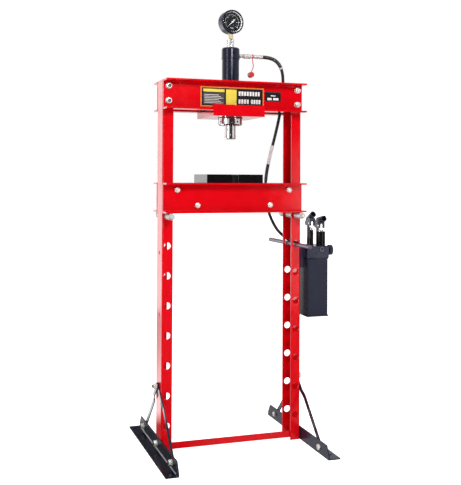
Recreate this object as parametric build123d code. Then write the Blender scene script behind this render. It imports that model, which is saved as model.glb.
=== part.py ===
"""A floor-standing hydraulic shop press with a hand pump, in millimetres, +Z up.

The origin is on the floor, midway between the two posts. X runs along the bed to the pump side,
and Y runs from the front of the press to its back.
"""

import os
from collections import namedtuple
from math import cos, radians, sin, tan

from build123d import *

os.makedirs("parts", exist_ok=True)

# Fits shared by the whole press
clearance = 0.3
seat_gap = 0.2
overrun = 5.0

# Posts: two formed channels, open towards each other
frame_width = 551.0
post_depth = 88.0
post_flange = 40.0
post_wall = 5.0
post_height = 1370.0
bend_radius = 3.0
hole_diameter = 26.0
hole_pitch = 110.0
hole_count = 8
lowest_hole = 96.5

# Head: two formed channels bolted to the posts
head_height = 110.5
head_flange = 56.0
head_wall = 6.0
head_bolt_drop = 23.5
head_bolt_spacing = 55.0

# Bed: two formed channels tied together around the posts
bed_height = 111.0
bed_flange = 56.0
bed_wall = 6.0
bed_gap = 0.5
least_daylight = 130.0
upper_tie_inset = 53.5
lower_tie_inset = 131.5
upper_tie_drop = 26.0
lower_tie_drop = 84.0
spacer_diameter = 22.0

# Bed pins and arbor plates
pin_diameter = 24.0
pin_nose_diameter = 16.0
pin_body_length = 208.0
pin_length = 240.0
plate_length = 176.0
plate_width = 99.0
plate_thickness = 32.0
plate_gap = 22.0
plate_offset = -8.0
plate_bevel = 2.0

# Ram unit
cradle_width = 202.0
cradle_thickness = 22.5
cradle_lip = 6.0
cradle_hook = 15.0
cradle_hook_wall = 13.0
barrel_diameter = 66.0
barrel_bore = 48.0
barrel_rise = 135.0
barrel_end_wall = 16.0
barrel_bevel = 5.0
band_diameter = 69.0
band_height = 12.0
band_drop = 31.0
neck_diameter = 56.0
neck_length = 51.5
gland_height = 38.0
ring_nut_diameter = 90.0
ring_nut_height = 26.5
ring_nut_bevel = 4.0
ring_washer_diameter = 94.0
ring_washer_wall = 2.5
spanner_hole_diameter = 8.0
spanner_hole_depth = 9.0
spanner_hole_count = 4
spanner_hole_turn = 20.0
ram_diameter = 40.0
ram_collar_diameter = 41.5
ram_collar_height = 16.0
ram_drop = 52.0
ram_round = 3.0
piston_height = 26.0
piston_drop = 42.0
seal_height = 6.0
seal_depth = 2.0
spring_wire = 2.4
spring_turns = 16

# Gauge
gauge_turn = 8.0
gauge_height = 99.0
gauge_case_diameter = 88.0
gauge_case_depth = 38.0
gauge_wall = 2.0
bezel_diameter = 92.0
bezel_overlap = 10.0
bezel_lip = 4.0
bezel_lip_wall = 2.0
dial_wall = 1.5
dial_seat = 29.0
movement_diameter = 30.0
lens_wall = 2.0
needle_length = 30.0
needle_tail = 13.0
needle_width = 3.0
needle_wall = 1.2
needle_lift = 2.0
needle_rest = 225.0
hub_diameter = 8.0
spindle_diameter = 2.0
spindle_length = 14.0
stem_diameter = 17.0
adapter_flats = 24.0
adapter_height = 35.0

# Hydraulic line
port_drop = 28.0
nipple_diameter = 11.0
nipple_reach = 17.0
coupler_diameter = 18.0
coupler_length = 31.0
coupler_bevel = 1.8
neck_tube_diameter = 12.0
neck_tube_length = 17.0
strap_ring_diameter = 21.0
strap_ring_length = 12.0
ferrule_diameter = 15.5
ferrule_length = 32.0
hose_diameter = 12.0
bend_share = 0.45
hose_route_shares = [
    (0.0, 0.0, 0.0),
    (0.341, 0.0, 0.0),
    (0.682, 0.040, 0.028),
    (0.863, 0.119, 0.080),
    (0.910, 0.219, 0.155),
    (0.872, 0.318, 0.269),
    (0.758, 0.597, 0.407),
    (0.626, 0.975, 0.546),
    (0.550, 1.184, 0.677),
    (0.626, 1.194, 0.797),
    (0.796, 1.124, 0.883),
]
hose_last_run = 56.0
lanyard_route = [
    (0.0, 0.0, 0.0),
    (1.0, 0.0, -11.0),
    (4.0, 0.0, -24.0),
    (1.0, 0.0, -38.0),
    (-6.0, 0.0, -50.0),
]
lanyard_diameter = 3.4
cap_diameter = 20.0
cap_length = 20.0
cap_rim_diameter = 22.0
cap_rim_length = 4.0
cap_wall = 2.0

# Feet and braces
foot_length = 604.0
foot_height = 48.0
foot_width = 47.0
foot_wall = 5.0
foot_cut_length = 22.0
foot_cut_height = 34.0
foot_bolt_height = 25.0
brace_width = 18.0
brace_wall = 4.0
brace_reach = 222.0
brace_top = 236.0
joggle_start = 70.0
joggle_end = 95.0
anchor_diameter = 13.0
anchor_spread = 520.0
crossbar_height = 24.0
crossbar_leg = 24.0
crossbar_wall = 4.0
crossbar_lift = 9.0
crossbar_front = -36.0

# Pump
bracket_depth = 60.0
bracket_reach = 22.5
bracket_wall = 4.0
bracket_height = 84.0
bracket_bolt_spacing = 44.0
tank_width = 91.0
tank_depth = 116.0
tank_height = 228.0
tank_wall = 2.5
tank_corner = 7.0
tank_floor = 471.0
lip_reach = 2.0
lip_height = 4.0
gasket_wall = 1.0
body_height = 44.0
body_bevel = 3.0
unit_y = -20.0
unit_arm = 28.0
socket_diameter = 24.0
socket_bore = 17.0
socket_length = 50.0
socket_depth = 30.0
tongue_width = 9.0
tongue_length = 14.0
tongue_rise = 6.0
tongue_drop = 15.5
ear_gap = 0.5
ear_wall = 6.5
ear_height = 20.0
ear_top = 20.0
ear_reach = 12.0
lever_pin_diameter = 6.0
slot_travel = 3.0
slot_play = 0.6
knob_diameter = 40.0
knob_width = 13.0
knob_notch = 3.0
knob_notch_count = 24
knob_stem_diameter = 10.0
knob_stem_length = 8.0
knob_y = -35.0
knob_z_drop = 17.0
plug_diameter = 19.0
plug_height = 3.0
plug_socket = 8.0
plug_depth = 2.0
small_plug_diameter = 11.0
plug_place = (60.0, 12.0)
small_plug_place = (43.0, 27.0)
elbow_diameter = 18.0
elbow_reach = 44.0
elbow_turn = 30.0
elbow_side = 27.0
elbow_drop = 12.0
elbow_neck = 10.0
handle_diameter = 16.0
handle_front = -182.0
handle_back = 231.0
handle_bevel = 1.5

Bolt = namedtuple("Bolt", "diameter flats head nut washer washer_wall tip")
frame_bolt = Bolt(diameter=12.0, flats=19.0, head=7.5, nut=10.0, washer=24.0, washer_wall=2.5, tip=4.0)
bracket_bolt = Bolt(diameter=8.0, flats=13.0, head=5.5, nut=6.5, washer=16.0, washer_wall=1.6, tip=3.0)

Unit = namedtuple("Unit", "inset barrel plunger barrel_height pin_height lift start rise")
thin_unit = Unit(inset=33.0, barrel=16.0, plunger=9.0, barrel_height=61.0, pin_height=88.0,
                 lift=27.4, start=0.1, rise=12.6)
thick_unit = Unit(inset=73.0, barrel=36.0, plunger=20.0, barrel_height=55.0, pin_height=78.0,
                  lift=10.0, start=8.5, rise=20.0)

# Places worked out from the sizes above
half_width = frame_width / 2
post_face = post_depth / 2
hole_x = half_width - post_flange / 2
hole_heights = [lowest_hole + hole_pitch * i for i in range(hole_count)]
head_bottom = post_height - head_height
head_middle = post_height - head_height / 2
head_tip = post_face + head_flange
bed_face = post_face + bed_gap
cradle_bottom = head_bottom - cradle_thickness
neck_bottom = head_bottom - neck_length
ram_bottom = neck_bottom - ram_drop
pin_drop = (hole_diameter - pin_diameter) / 2 - seat_gap
bed_rise = pin_diameter / 2 + seat_gap - pin_drop
highest_row = ram_bottom - least_daylight - plate_thickness - bed_height - bed_rise
bed_row = max(height for height in hole_heights if height < highest_row)
pin_height = bed_row - pin_drop
bed_bottom = bed_row + bed_rise
bed_top = bed_bottom + bed_height
barrel_top = post_height + barrel_rise
nut_top = cradle_bottom - ring_washer_wall
nut_bottom = nut_top - ring_nut_height
piston_top = barrel_top - piston_drop
port_height = barrel_top - port_drop
coupler_start = barrel_diameter / 2 + nipple_reach
neck_tube_start = coupler_start + coupler_length
ferrule_start = neck_tube_start + neck_tube_length
hose_start = ferrule_start + ferrule_length
adapter_top = barrel_top + adapter_height
gauge_middle = barrel_top + gauge_height
tank_left = half_width + bracket_reach
tank_top = tank_floor + tank_height
body_bottom = tank_top + gasket_wall
body_top = body_bottom + body_height
body_right = tank_left + tank_width
fulcrum_y = unit_y + unit_arm
elbow_centre = Vector(tank_left + elbow_side, tank_depth / 2 + elbow_reach / 2, body_top - elbow_drop)
elbow_way = Vector(-cos(radians(elbow_turn)), 0, sin(radians(elbow_turn)))
pump_ferrule_start = elbow_centre + elbow_way * elbow_neck
hose_end = pump_ferrule_start + elbow_way * ferrule_length


def block(x, y, z):
    """A block between a low and a high value on each axis."""
    size = Box(x[1] - x[0], y[1] - y[0], z[1] - z[0], align=(Align.MIN, Align.MIN, Align.MIN))
    return Pos(x[0], y[0], z[0]) * size


def rod(diameter, start, end):
    """A round bar between two points."""
    start = Vector(start)
    run = Vector(end) - start
    return extrude(Plane(start, z_dir=run) * Circle(diameter / 2), run.length)


def hexagon(flats, start, end):
    """A hexagonal bar between two points."""
    start = Vector(start)
    run = Vector(end) - start
    return extrude(Plane(start, z_dir=run) * RegularPolygon(flats / 2, 6, major_radius=False), run.length)


def tube(outer, inner, start, end):
    """A round tube between two points."""
    way = (Vector(end) - Vector(start)).normalized() * overrun
    return rod(outer, start, end) - rod(inner, Vector(start) - way, Vector(end) + way)


def channel(depth, flange, wall, length):
    """A formed channel with the outside of its web on X = 0 and its flanges towards +X."""
    outline = Rectangle(flange, depth, align=(Align.MIN, Align.CENTER))
    hollow = Pos(wall, 0) * Rectangle(flange, depth - 2 * wall, align=(Align.MIN, Align.CENTER))
    section = outline - hollow
    corners = section.vertices().filter_by(lambda v: v.X < wall / 2)
    section = fillet(corners, bend_radius + wall)
    inner = depth / 2 - wall / 2
    roots = section.vertices().filter_by(lambda v: wall / 2 < v.X < 2 * wall and abs(v.Y) < inner)
    section = fillet(roots, bend_radius)
    return extrude(section, length)


def bolt_set(bolt, head_face, nut_face):
    """A bolt through the parts between two faces, with the washer and nut on its far end."""
    head_face = Vector(head_face)
    nut_face = Vector(nut_face)
    way = (nut_face - head_face).normalized()
    nut_start = nut_face + way * bolt.washer_wall
    nut_end = nut_start + way * bolt.nut
    head = hexagon(bolt.flats, head_face - way * bolt.head, head_face)
    shank = rod(bolt.diameter, head_face, nut_end + way * bolt.tip)
    bore = bolt.diameter + 2 * clearance
    washer = tube(bolt.washer, bore, nut_face, nut_start)
    nut = hexagon(bolt.flats, nut_start, nut_end) - rod(bore, nut_face, nut_end + way * overrun)
    return head + shank, washer, nut


def bolt_hole(bolt, start, end):
    """The clearance hole for a bolt."""
    return rod(bolt.diameter + 2 * clearance, start, end)


def group(solids):
    """Separate solids kept in one node."""
    return Compound(children=[solid.solid() for solid in solids])


def cord(name, points, diameter):
    """A cord along straight runs joined by tangent arcs."""
    points = [Vector(point) for point in points]
    runs = [end - start for start, end in zip(points, points[1:])]
    radii = []
    for before, after in zip(runs, runs[1:]):
        half_turn = radians(before.get_angle(after) / 2)
        radii.append(bend_share * min(before.length, after.length) / tan(half_turn))
    path = FilletPolyline(*points, radius=radii)
    solid = sweep(Plane(points[0], z_dir=runs[0]) * Circle(diameter / 2), path)
    print(name, "length", round(path.length, 1), "radii", [round(radius, 1) for radius in radii])
    expected = Circle(diameter / 2).area * path.length
    print(name, "volume", round(solid.volume), "section by length", round(expected))
    return solid


# Frame


def head_bolt_places():
    """The bolts of one head channel, as X and Z."""
    upper = post_height - head_bolt_drop
    heights = (upper - head_bolt_spacing, upper)
    return [(side * hole_x, height) for side in (-1, 1) for height in heights]


def foot_bolt_faces(side):
    """Where the bolt between a foot and its post starts and ends."""
    inner = (side * (half_width - post_wall), 0, foot_bolt_height)
    outer = (side * (half_width + foot_wall), 0, foot_bolt_height)
    return inner, outer


def brace_bolt_faces(side):
    """Where the bolt through a post and the tops of its two braces starts and ends."""
    inner = (side * (half_width - post_wall), 0, brace_top)
    outer = (side * (half_width + 2 * brace_wall), 0, brace_top)
    return inner, outer


def bracket_bolt_faces():
    """Where the two bolts between the pump's bracket and the right post start and end."""
    middle = body_top - bracket_height / 2
    heights = (middle - bracket_bolt_spacing / 2, middle + bracket_bolt_spacing / 2)
    inner = half_width - post_wall
    return [((half_width + bracket_wall, 0, height), (inner, 0, height)) for height in heights]


def post(side):
    """An upright channel with its row of pin holes through both flanges."""
    start = Plane((side * half_width, 0, 0), x_dir=(-side, 0, 0))
    solid = start * channel(post_depth, post_flange, post_wall, post_height)
    reach = post_face + overrun
    for height in hole_heights:
        solid -= rod(hole_diameter, (side * hole_x, -reach, height), (side * hole_x, reach, height))
    for x, height in head_bolt_places():
        if x * side > 0:
            solid -= bolt_hole(frame_bolt, (x, -reach, height), (x, reach, height))
    web = (side * (half_width - post_wall - overrun), side * (half_width + overrun))
    for height in (foot_bolt_height, brace_top):
        solid -= bolt_hole(frame_bolt, (web[0], 0, height), (web[1], 0, height))
    if side > 0:
        for start, _ in bracket_bolt_faces():
            solid -= bolt_hole(bracket_bolt, (web[0], 0, start[2]), (web[1], 0, start[2]))
    return solid


def head_channel(face):
    """A channel across the tops of the posts, its flanges pointing outwards."""
    start = Plane((-half_width, face * post_face, head_middle), x_dir=(0, face, 0), z_dir=(1, 0, 0))
    solid = start * channel(head_height, head_flange, head_wall, frame_width)
    inner = face * (post_face - overrun)
    outer = face * (post_face + head_wall + overrun)
    for x, height in head_bolt_places():
        solid -= bolt_hole(frame_bolt, (x, inner, height), (x, outer, height))
    return solid


def head_fasteners():
    """The bolts that hold both head channels, with their nuts on the outside."""
    sets = []
    for face in (-1, 1):
        for x, height in head_bolt_places():
            inner = (x, face * (post_face - post_wall), height)
            sets.append(bolt_set(frame_bolt, inner, (x, face * (post_face + head_wall), height)))
    return group([piece for pieces in sets for piece in pieces])


def base_crossbar():
    """An angle bar welded between the feet of the posts."""
    reach = half_width - post_wall
    leg = block((-reach, reach), (crossbar_front, crossbar_front + crossbar_wall),
                (crossbar_lift, crossbar_lift + crossbar_height))
    shelf = block((-reach, reach), (crossbar_front, crossbar_front + crossbar_leg),
                  (crossbar_lift, crossbar_lift + crossbar_wall))
    return leg + shelf


def foot(side):
    """An angle bar on the floor, its upright leg against the outside of a post."""
    reach = foot_length / 2
    inner = half_width
    wide = sorted((side * inner, side * (inner + foot_width)))
    thin = sorted((side * inner, side * (inner + foot_wall)))
    sole = block(wide, (-reach, reach), (0, foot_wall))
    profile = Polyline(
        (-reach, 0),
        (reach, 0),
        (reach, foot_height - foot_cut_height),
        (reach - foot_cut_length, foot_height),
        (foot_cut_length - reach, foot_height),
        (-reach, foot_height - foot_cut_height),
        close=True,
    )
    side_plane = Plane((thin[0], 0, 0), x_dir=(0, 1, 0), z_dir=(1, 0, 0))
    upright = extrude(side_plane * make_face(profile), foot_wall)
    solid = sole + upright
    ends = (side * (inner - overrun), side * (inner + foot_wall + overrun))
    for y in (-brace_reach, 0, brace_reach):
        solid -= bolt_hole(frame_bolt, (ends[0], y, foot_bolt_height), (ends[1], y, foot_bolt_height))
    anchor_x = side * (inner + (foot_wall + foot_width) / 2)
    for y in (-anchor_spread / 2, anchor_spread / 2):
        solid -= rod(anchor_diameter, (anchor_x, y, -overrun), (anchor_x, y, foot_wall + overrun))
    return solid


def brace_offset(side, layer):
    """How far a brace steps sideways, to the inside of the left foot and the outside of the right one."""
    outside = foot_wall - layer * brace_wall
    inside = -(layer + 1) * brace_wall
    return outside if side > 0 else inside


def brace(side, end, layer):
    """A flat bar from a post to one end of its foot, stepped where it passes the foot's upright leg."""
    top = Vector(0, 0, brace_top)
    foot_end = Vector(0, end * brace_reach, foot_bolt_height)
    run = foot_end - top
    half = brace_width / 2
    start = half_width + layer * brace_wall
    step = brace_offset(side, layer)
    profile = Polyline(
        (-half, start),
        (joggle_start, start),
        (joggle_end, start + step),
        (run.length + half, start + step),
        (run.length + half, start + step + brace_wall),
        (joggle_end, start + step + brace_wall),
        (joggle_start, start + brace_wall),
        (-half, start + brace_wall),
        close=True,
    )
    along = run.normalized()
    out = Vector(side, 0, 0)
    plane = Plane(top, x_dir=along, z_dir=along.cross(out))
    solid = extrude(plane * make_face(profile), half, both=True)
    beyond = (half_width + foot_wall + foot_width) * side
    for middle in (top, foot_end):
        solid -= bolt_hole(frame_bolt, middle, middle + Vector(beyond, 0, 0))
    return solid


def foot_fasteners():
    """The bolts of the feet and braces."""
    sets = []
    for side in (-1, 1):
        sets.append(bolt_set(frame_bolt, *foot_bolt_faces(side)))
        sets.append(bolt_set(frame_bolt, *brace_bolt_faces(side)))
        low = half_width + min(0, brace_offset(side, 0))
        high = half_width + foot_wall + max(0, brace_offset(side, 0) + brace_wall - foot_wall)
        for end in (-brace_reach, brace_reach):
            inner = (side * low, end, foot_bolt_height)
            sets.append(bolt_set(frame_bolt, inner, (side * high, end, foot_bolt_height)))
    return group([piece for pieces in sets for piece in pieces])


# Bed


def tie_places():
    """The bed's tie bolts, as X and Z."""
    upper = [(side * (half_width - upper_tie_inset), bed_top - upper_tie_drop) for side in (-1, 1)]
    lower = [(side * (half_width - lower_tie_inset), bed_top - lower_tie_drop) for side in (-1, 1)]
    return upper + lower


def bed_channel(face):
    """One channel of the bed, its flanges pointing outwards."""
    middle = (bed_bottom + bed_top) / 2
    start = Plane((-half_width, face * bed_face, middle), x_dir=(0, face, 0), z_dir=(1, 0, 0))
    solid = start * channel(bed_height, bed_flange, bed_wall, frame_width)
    inner = face * (bed_face - overrun)
    outer = face * (bed_face + bed_wall + overrun)
    for x, height in tie_places():
        solid -= bolt_hole(frame_bolt, (x, inner, height), (x, outer, height))
    return solid


def bed_spacers():
    """The spacer tubes between the bed's channels."""
    bore = frame_bolt.diameter + 2 * clearance
    return group([tube(spacer_diameter, bore, (x, -bed_face, z), (x, bed_face, z)) for x, z in tie_places()])


def tie_fasteners():
    """The long bolts that pull the bed's channels together on to the spacers."""
    outer = bed_face + bed_wall
    sets = [bolt_set(frame_bolt, (x, -outer, height), (x, outer, height)) for x, height in tie_places()]
    return group([piece for pieces in sets for piece in pieces])


def bed_pin(side):
    """A stepped pin through both flanges of a post, under the bed."""
    x = side * hole_x
    body = rod(pin_diameter, (x, -pin_body_length / 2, pin_height), (x, pin_body_length / 2, pin_height))
    nose = rod(pin_nose_diameter, (x, -pin_length / 2, pin_height), (x, pin_length / 2, pin_height))
    return body + nose


def arbor_plate(side):
    """A thick loose plate that lies across the bed."""
    inner = plate_offset + side * plate_gap / 2
    wide = sorted((inner, inner + side * plate_width))
    solid = block(wide, (-plate_length / 2, plate_length / 2), (bed_top, bed_top + plate_thickness))
    return chamfer(solid.edges().filter_by(Axis.Z), plate_bevel)


# Ram unit


def ram_cradle():
    """The plate that carries the cylinder, hooked over the lower flanges of the head."""
    half = cradle_width / 2
    inside = head_tip + clearance
    outside = inside + cradle_lip
    hook_bottom = head_bottom + head_wall + clearance
    hook_top = hook_bottom + cradle_hook_wall
    solid = block((-half, half), (-outside, outside), (cradle_bottom, head_bottom))
    for face in (-1, 1):
        lip = sorted((face * inside, face * outside))
        hook = sorted((face * (outside - cradle_hook), face * outside))
        solid += block((-half, half), lip, (head_bottom, hook_top))
        solid += block((-half, half), hook, (hook_bottom, hook_top))
    bore = neck_diameter + 2 * clearance
    return solid - rod(bore, (0, 0, cradle_bottom - overrun), (0, 0, head_bottom + overrun))


def cylinder_barrel():
    """The black barrel, with the neck that goes down through the cradle."""
    body = rod(barrel_diameter, (0, 0, head_bottom), (0, 0, barrel_top))
    body = chamfer(body.edges().group_by(Axis.Z)[-1], barrel_bevel)
    band_top = barrel_top - band_drop
    body += rod(band_diameter, (0, 0, band_top - band_height), (0, 0, band_top))
    body += rod(neck_diameter, (0, 0, neck_bottom), (0, 0, head_bottom))
    gland_top = neck_bottom + gland_height
    body -= rod(barrel_bore, (0, 0, gland_top), (0, 0, barrel_top - barrel_end_wall))
    body -= rod(ram_diameter + 2 * clearance, (0, 0, neck_bottom - overrun), (0, 0, gland_top + overrun))
    port = nipple_diameter + 2 * clearance
    return body - rod(port, (0, 0, port_height), (barrel_diameter, 0, port_height))


def ring_nut():
    """The round nut under the cradle, with holes for a pin spanner."""
    solid = rod(ring_nut_diameter, (0, 0, nut_bottom), (0, 0, nut_top))
    solid = chamfer(solid.edges().group_by(Axis.Z)[0], ring_nut_bevel)
    bore = neck_diameter + 2 * clearance
    solid -= rod(bore, (0, 0, nut_bottom - overrun), (0, 0, nut_top + overrun))
    middle = nut_top - ring_nut_height / 2
    for i in range(spanner_hole_count):
        way = Vector(1, 0, 0).rotate(Axis.Z, spanner_hole_turn + i * 360 / spanner_hole_count)
        outer = way * ring_nut_diameter + Vector(0, 0, middle)
        inner = way * (ring_nut_diameter / 2 - spanner_hole_depth) + Vector(0, 0, middle)
        solid -= rod(spanner_hole_diameter, inner, outer)
    return solid


def ring_washer():
    """The thin washer between the ring nut and the cradle."""
    return tube(ring_washer_diameter, neck_diameter + 2 * clearance, (0, 0, nut_top), (0, 0, cradle_bottom))


def ram():
    """The chrome ram, from its rounded nose up to the piston."""
    bottom = ram_bottom
    body = rod(ram_diameter, (0, 0, bottom), (0, 0, piston_top - piston_height))
    collar = rod(ram_collar_diameter, (0, 0, bottom), (0, 0, bottom + ram_collar_height))
    collar = fillet(collar.edges().group_by(Axis.Z)[0], ram_round)
    return collar + (body - rod(ram_collar_diameter, (0, 0, bottom), (0, 0, bottom + ram_collar_height)))


def piston():
    """The piston on top of the ram, with a groove for its seal."""
    wide = barrel_bore - 2 * clearance
    bottom = piston_top - piston_height
    solid = rod(wide, (0, 0, bottom), (0, 0, piston_top))
    groove = ((bottom + piston_top - seal_height) / 2, (bottom + piston_top + seal_height) / 2)
    cut = tube(wide + overrun, wide - 2 * seal_depth, (0, 0, groove[0]), (0, 0, groove[1]))
    return solid - cut


def piston_seal():
    """The rubber ring in the piston's groove."""
    wide = barrel_bore - 2 * clearance
    bottom = piston_top - piston_height
    groove = ((bottom + piston_top - seal_height) / 2, (bottom + piston_top + seal_height) / 2)
    return tube(wide, wide - 2 * seal_depth, (0, 0, groove[0]), (0, 0, groove[1]))


def return_spring():
    """The spring that lifts the ram, between the gland and the piston."""
    bottom = neck_bottom + gland_height + spring_wire / 2
    height = piston_top - piston_height - spring_wire / 2 - bottom
    radius = (ram_diameter + barrel_bore) / 4
    path = Pos(0, 0, bottom) * Helix(height / spring_turns, height, radius)
    return sweep(Plane(path @ 0, z_dir=path % 0) * Circle(spring_wire / 2), path, is_frenet=True)


# Gauge


def gauge_plane():
    """The back of the gauge's case: Z comes out of the dial and Y is up."""
    turn = radians(gauge_turn)
    facing = Vector(sin(turn), -cos(turn), 0)
    back = Vector(0, 0, gauge_middle) - facing * (gauge_case_depth / 2)
    return Plane(back, x_dir=(cos(turn), sin(turn), 0), z_dir=facing)


def gauge_adapter():
    """The hex adapter screwed into the top of the barrel."""
    return hexagon(adapter_flats, (0, 0, barrel_top), (0, 0, adapter_top))


def gauge_stem():
    """The brass stem that carries the gauge."""
    return rod(stem_diameter, (0, 0, adapter_top), (0, 0, gauge_middle - movement_diameter / 2 - clearance))


def gauge_case():
    """The gauge's cup-shaped case."""
    solid = rod(gauge_case_diameter, (0, 0, 0), (0, 0, gauge_case_depth))
    inner = gauge_case_diameter - 2 * gauge_wall
    solid -= rod(inner, (0, 0, gauge_wall), (0, 0, gauge_case_depth + overrun))
    solid = gauge_plane() * solid
    hole = stem_diameter + 2 * clearance
    return solid - rod(hole, (0, 0, adapter_top), (0, 0, gauge_middle))


def gauge_movement():
    """The works behind the dial, as one plain block with a hole for the needle's spindle."""
    solid = rod(movement_diameter, (0, 0, gauge_wall), (0, 0, dial_seat))
    bore = spindle_diameter + 2 * clearance
    top = dial_seat + dial_wall + needle_lift + needle_wall
    solid -= rod(bore, (0, 0, top - spindle_length - overrun), (0, 0, dial_seat + overrun))
    return gauge_plane() * solid


def gauge_dial():
    """The dial plate."""
    wide = gauge_case_diameter - 2 * gauge_wall - 2 * clearance
    bore = spindle_diameter + 2 * clearance
    return gauge_plane() * tube(wide, bore, (0, 0, dial_seat), (0, 0, dial_seat + dial_wall))


def gauge_needle():
    """The needle on its spindle, at rest on zero."""
    bottom = dial_seat + dial_wall + needle_lift
    top = bottom + needle_wall
    solid = rod(hub_diameter, (0, 0, bottom), (0, 0, top))
    half = needle_width / 2
    solid += block((-needle_tail, 0), (-half, half), (bottom, top))
    blade = Polyline((0, -half), (needle_length, 0), (0, half), close=True)
    solid += extrude(Pos(0, 0, bottom) * make_face(blade), needle_wall)
    solid += rod(spindle_diameter, (0, 0, top - spindle_length), (0, 0, top))
    return gauge_plane() * Rot(0, 0, needle_rest) * solid


def gauge_lens():
    """The clear window under the bezel."""
    wide = gauge_case_diameter - 2 * gauge_wall - 2 * clearance
    return gauge_plane() * rod(wide, (0, 0, gauge_case_depth - lens_wall), (0, 0, gauge_case_depth))


def gauge_bezel():
    """The chrome ring around the front of the case."""
    front = gauge_case_depth + bezel_lip_wall
    back = gauge_case_depth - bezel_overlap
    solid = rod(bezel_diameter, (0, 0, back), (0, 0, front))
    solid -= rod(gauge_case_diameter + 2 * clearance, (0, 0, back - overrun), (0, 0, gauge_case_depth))
    mouth = gauge_case_diameter - 2 * bezel_lip
    return gauge_plane() * (solid - rod(mouth, (0, 0, back), (0, 0, front + overrun)))


# Hydraulic line


def port_nipple():
    """The nipple in the side of the barrel."""
    inner = barrel_bore / 2 + clearance
    return rod(nipple_diameter, (inner, 0, port_height), (coupler_start, 0, port_height))


def quick_coupler():
    """The screw coupler between the nipple and the hose."""
    solid = rod(coupler_diameter, (coupler_start, 0, port_height), (neck_tube_start, 0, port_height))
    return chamfer(solid.edges().filter_by(GeomType.CIRCLE), coupler_bevel)


def strap_ring():
    """The ring on the coupler's neck that holds the dust cap's lanyard."""
    start = neck_tube_start + (neck_tube_length - strap_ring_length) / 2
    bore = neck_tube_diameter + 2 * clearance
    end = start + strap_ring_length
    ring = tube(strap_ring_diameter, bore, (start, 0, port_height), (end, 0, port_height))
    return ring


def hose_ferrule():
    """The crimped end of the hose at the barrel, with its neck."""
    neck = rod(neck_tube_diameter, (neck_tube_start, 0, port_height), (ferrule_start, 0, port_height))
    return neck + rod(ferrule_diameter, (ferrule_start, 0, port_height), (hose_start, 0, port_height))


def pump_ferrule():
    """The crimped end of the hose at the pump."""
    return rod(ferrule_diameter, pump_ferrule_start, hose_end)


def pump_elbow():
    """The elbow on the back of the pump, turned up towards the hose."""
    back = Vector(elbow_centre.X, tank_depth / 2, elbow_centre.Z)
    stub = rod(elbow_diameter, back, back + Vector(0, elbow_reach, 0))
    return stub + rod(neck_tube_diameter, elbow_centre, pump_ferrule_start)


def hose_points():
    """The hose's route: down between the head channels, behind the bed, and round the post to the pump."""
    start = Vector(hose_start, 0, port_height)
    across = half_width - post_flange - hose_start
    back = bed_face + bed_flange
    drop = port_height - hose_end.Z
    way = [start + Vector(across * x, back * y, -drop * z) for x, y, z in hose_route_shares]
    return way + [hose_end + elbow_way * hose_last_run, hose_end]


def lanyard_points():
    """The lanyard's route from the strap ring down to the dust cap."""
    start = Vector(neck_tube_start + neck_tube_length / 2, 0, port_height - strap_ring_diameter / 2)
    return [start + Vector(offset) for offset in lanyard_route]


def dust_cap():
    """The hanging dust cap, its closed end towards the front."""
    hang = Vector(lanyard_points()[-1])
    top = hang - Vector(0, 0, cap_diameter / 2)
    front = top - Vector(0, cap_length / 2, 0)
    back = top + Vector(0, cap_length / 2, 0)
    solid = rod(cap_diameter, front, back)
    solid += rod(cap_rim_diameter, back - Vector(0, cap_rim_length, 0), back)
    hollow = cap_diameter - 2 * cap_wall
    return solid - rod(hollow, front + Vector(0, cap_wall, 0), back + Vector(0, overrun, 0))


# Pump


def pump_bracket():
    """The formed bracket between the right post and the pump."""
    start = Pos(half_width, 0, body_top - bracket_height)
    solid = start * channel(bracket_depth, bracket_reach, bracket_wall, bracket_height)
    for start, _ in bracket_bolt_faces():
        inner = (half_width - overrun, 0, start[2])
        solid -= bolt_hole(bracket_bolt, inner, (half_width + bracket_wall + overrun, 0, start[2]))
    return solid


def bracket_fasteners():
    """The bolts that hold the pump's bracket."""
    sets = [bolt_set(bracket_bolt, *faces) for faces in bracket_bolt_faces()]
    return group([piece for pieces in sets for piece in pieces])


def footprint(height, grow, corner):
    """A block over the pump's footprint with rounded corners."""
    middle = Pos(tank_left + tank_width / 2, 0)
    return extrude(middle * RectangleRounded(tank_width + 2 * grow, tank_depth + 2 * grow, corner), height)


def pump_tank():
    """The oil tank: an open box with a lip at its top and bottom."""
    solid = Pos(0, 0, tank_floor) * footprint(tank_height, -lip_reach, tank_corner)
    for height in (tank_floor, tank_top - lip_height):
        solid += Pos(0, 0, height) * footprint(lip_height, 0, tank_corner)
    inner = -lip_reach - tank_wall
    cut = footprint(tank_height, inner, tank_corner - tank_wall)
    return solid - Pos(0, 0, tank_floor + lip_height) * cut


def pump_gasket():
    """The gasket between the tank and the pump's body."""
    solid = footprint(gasket_wall, 0, tank_corner)
    cut = footprint(gasket_wall + 2 * overrun, -lip_reach - tank_wall, tank_corner - tank_wall)
    return Pos(0, 0, tank_top) * (solid - Pos(0, 0, -overrun) * cut)


def pump_body():
    """The block that holds the plungers and valves."""
    half = tank_depth / 2
    solid = block((tank_left, body_right), (-half, half), (body_bottom, body_top))
    return chamfer(solid.edges().group_by(Axis.Z)[-1], body_bevel)


def plug(place, diameter):
    """A round plug with a hex socket, on the front of the pump's body."""
    x = tank_left + place[0]
    z = body_top - place[1]
    front = -tank_depth / 2
    solid = rod(diameter, (x, front - plug_height, z), (x, front, z))
    across = plug_socket * diameter / plug_diameter
    bottom = front - plug_height + plug_depth
    return solid - hexagon(across, (x, front - plug_height - overrun, z), (x, bottom, z))


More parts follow.
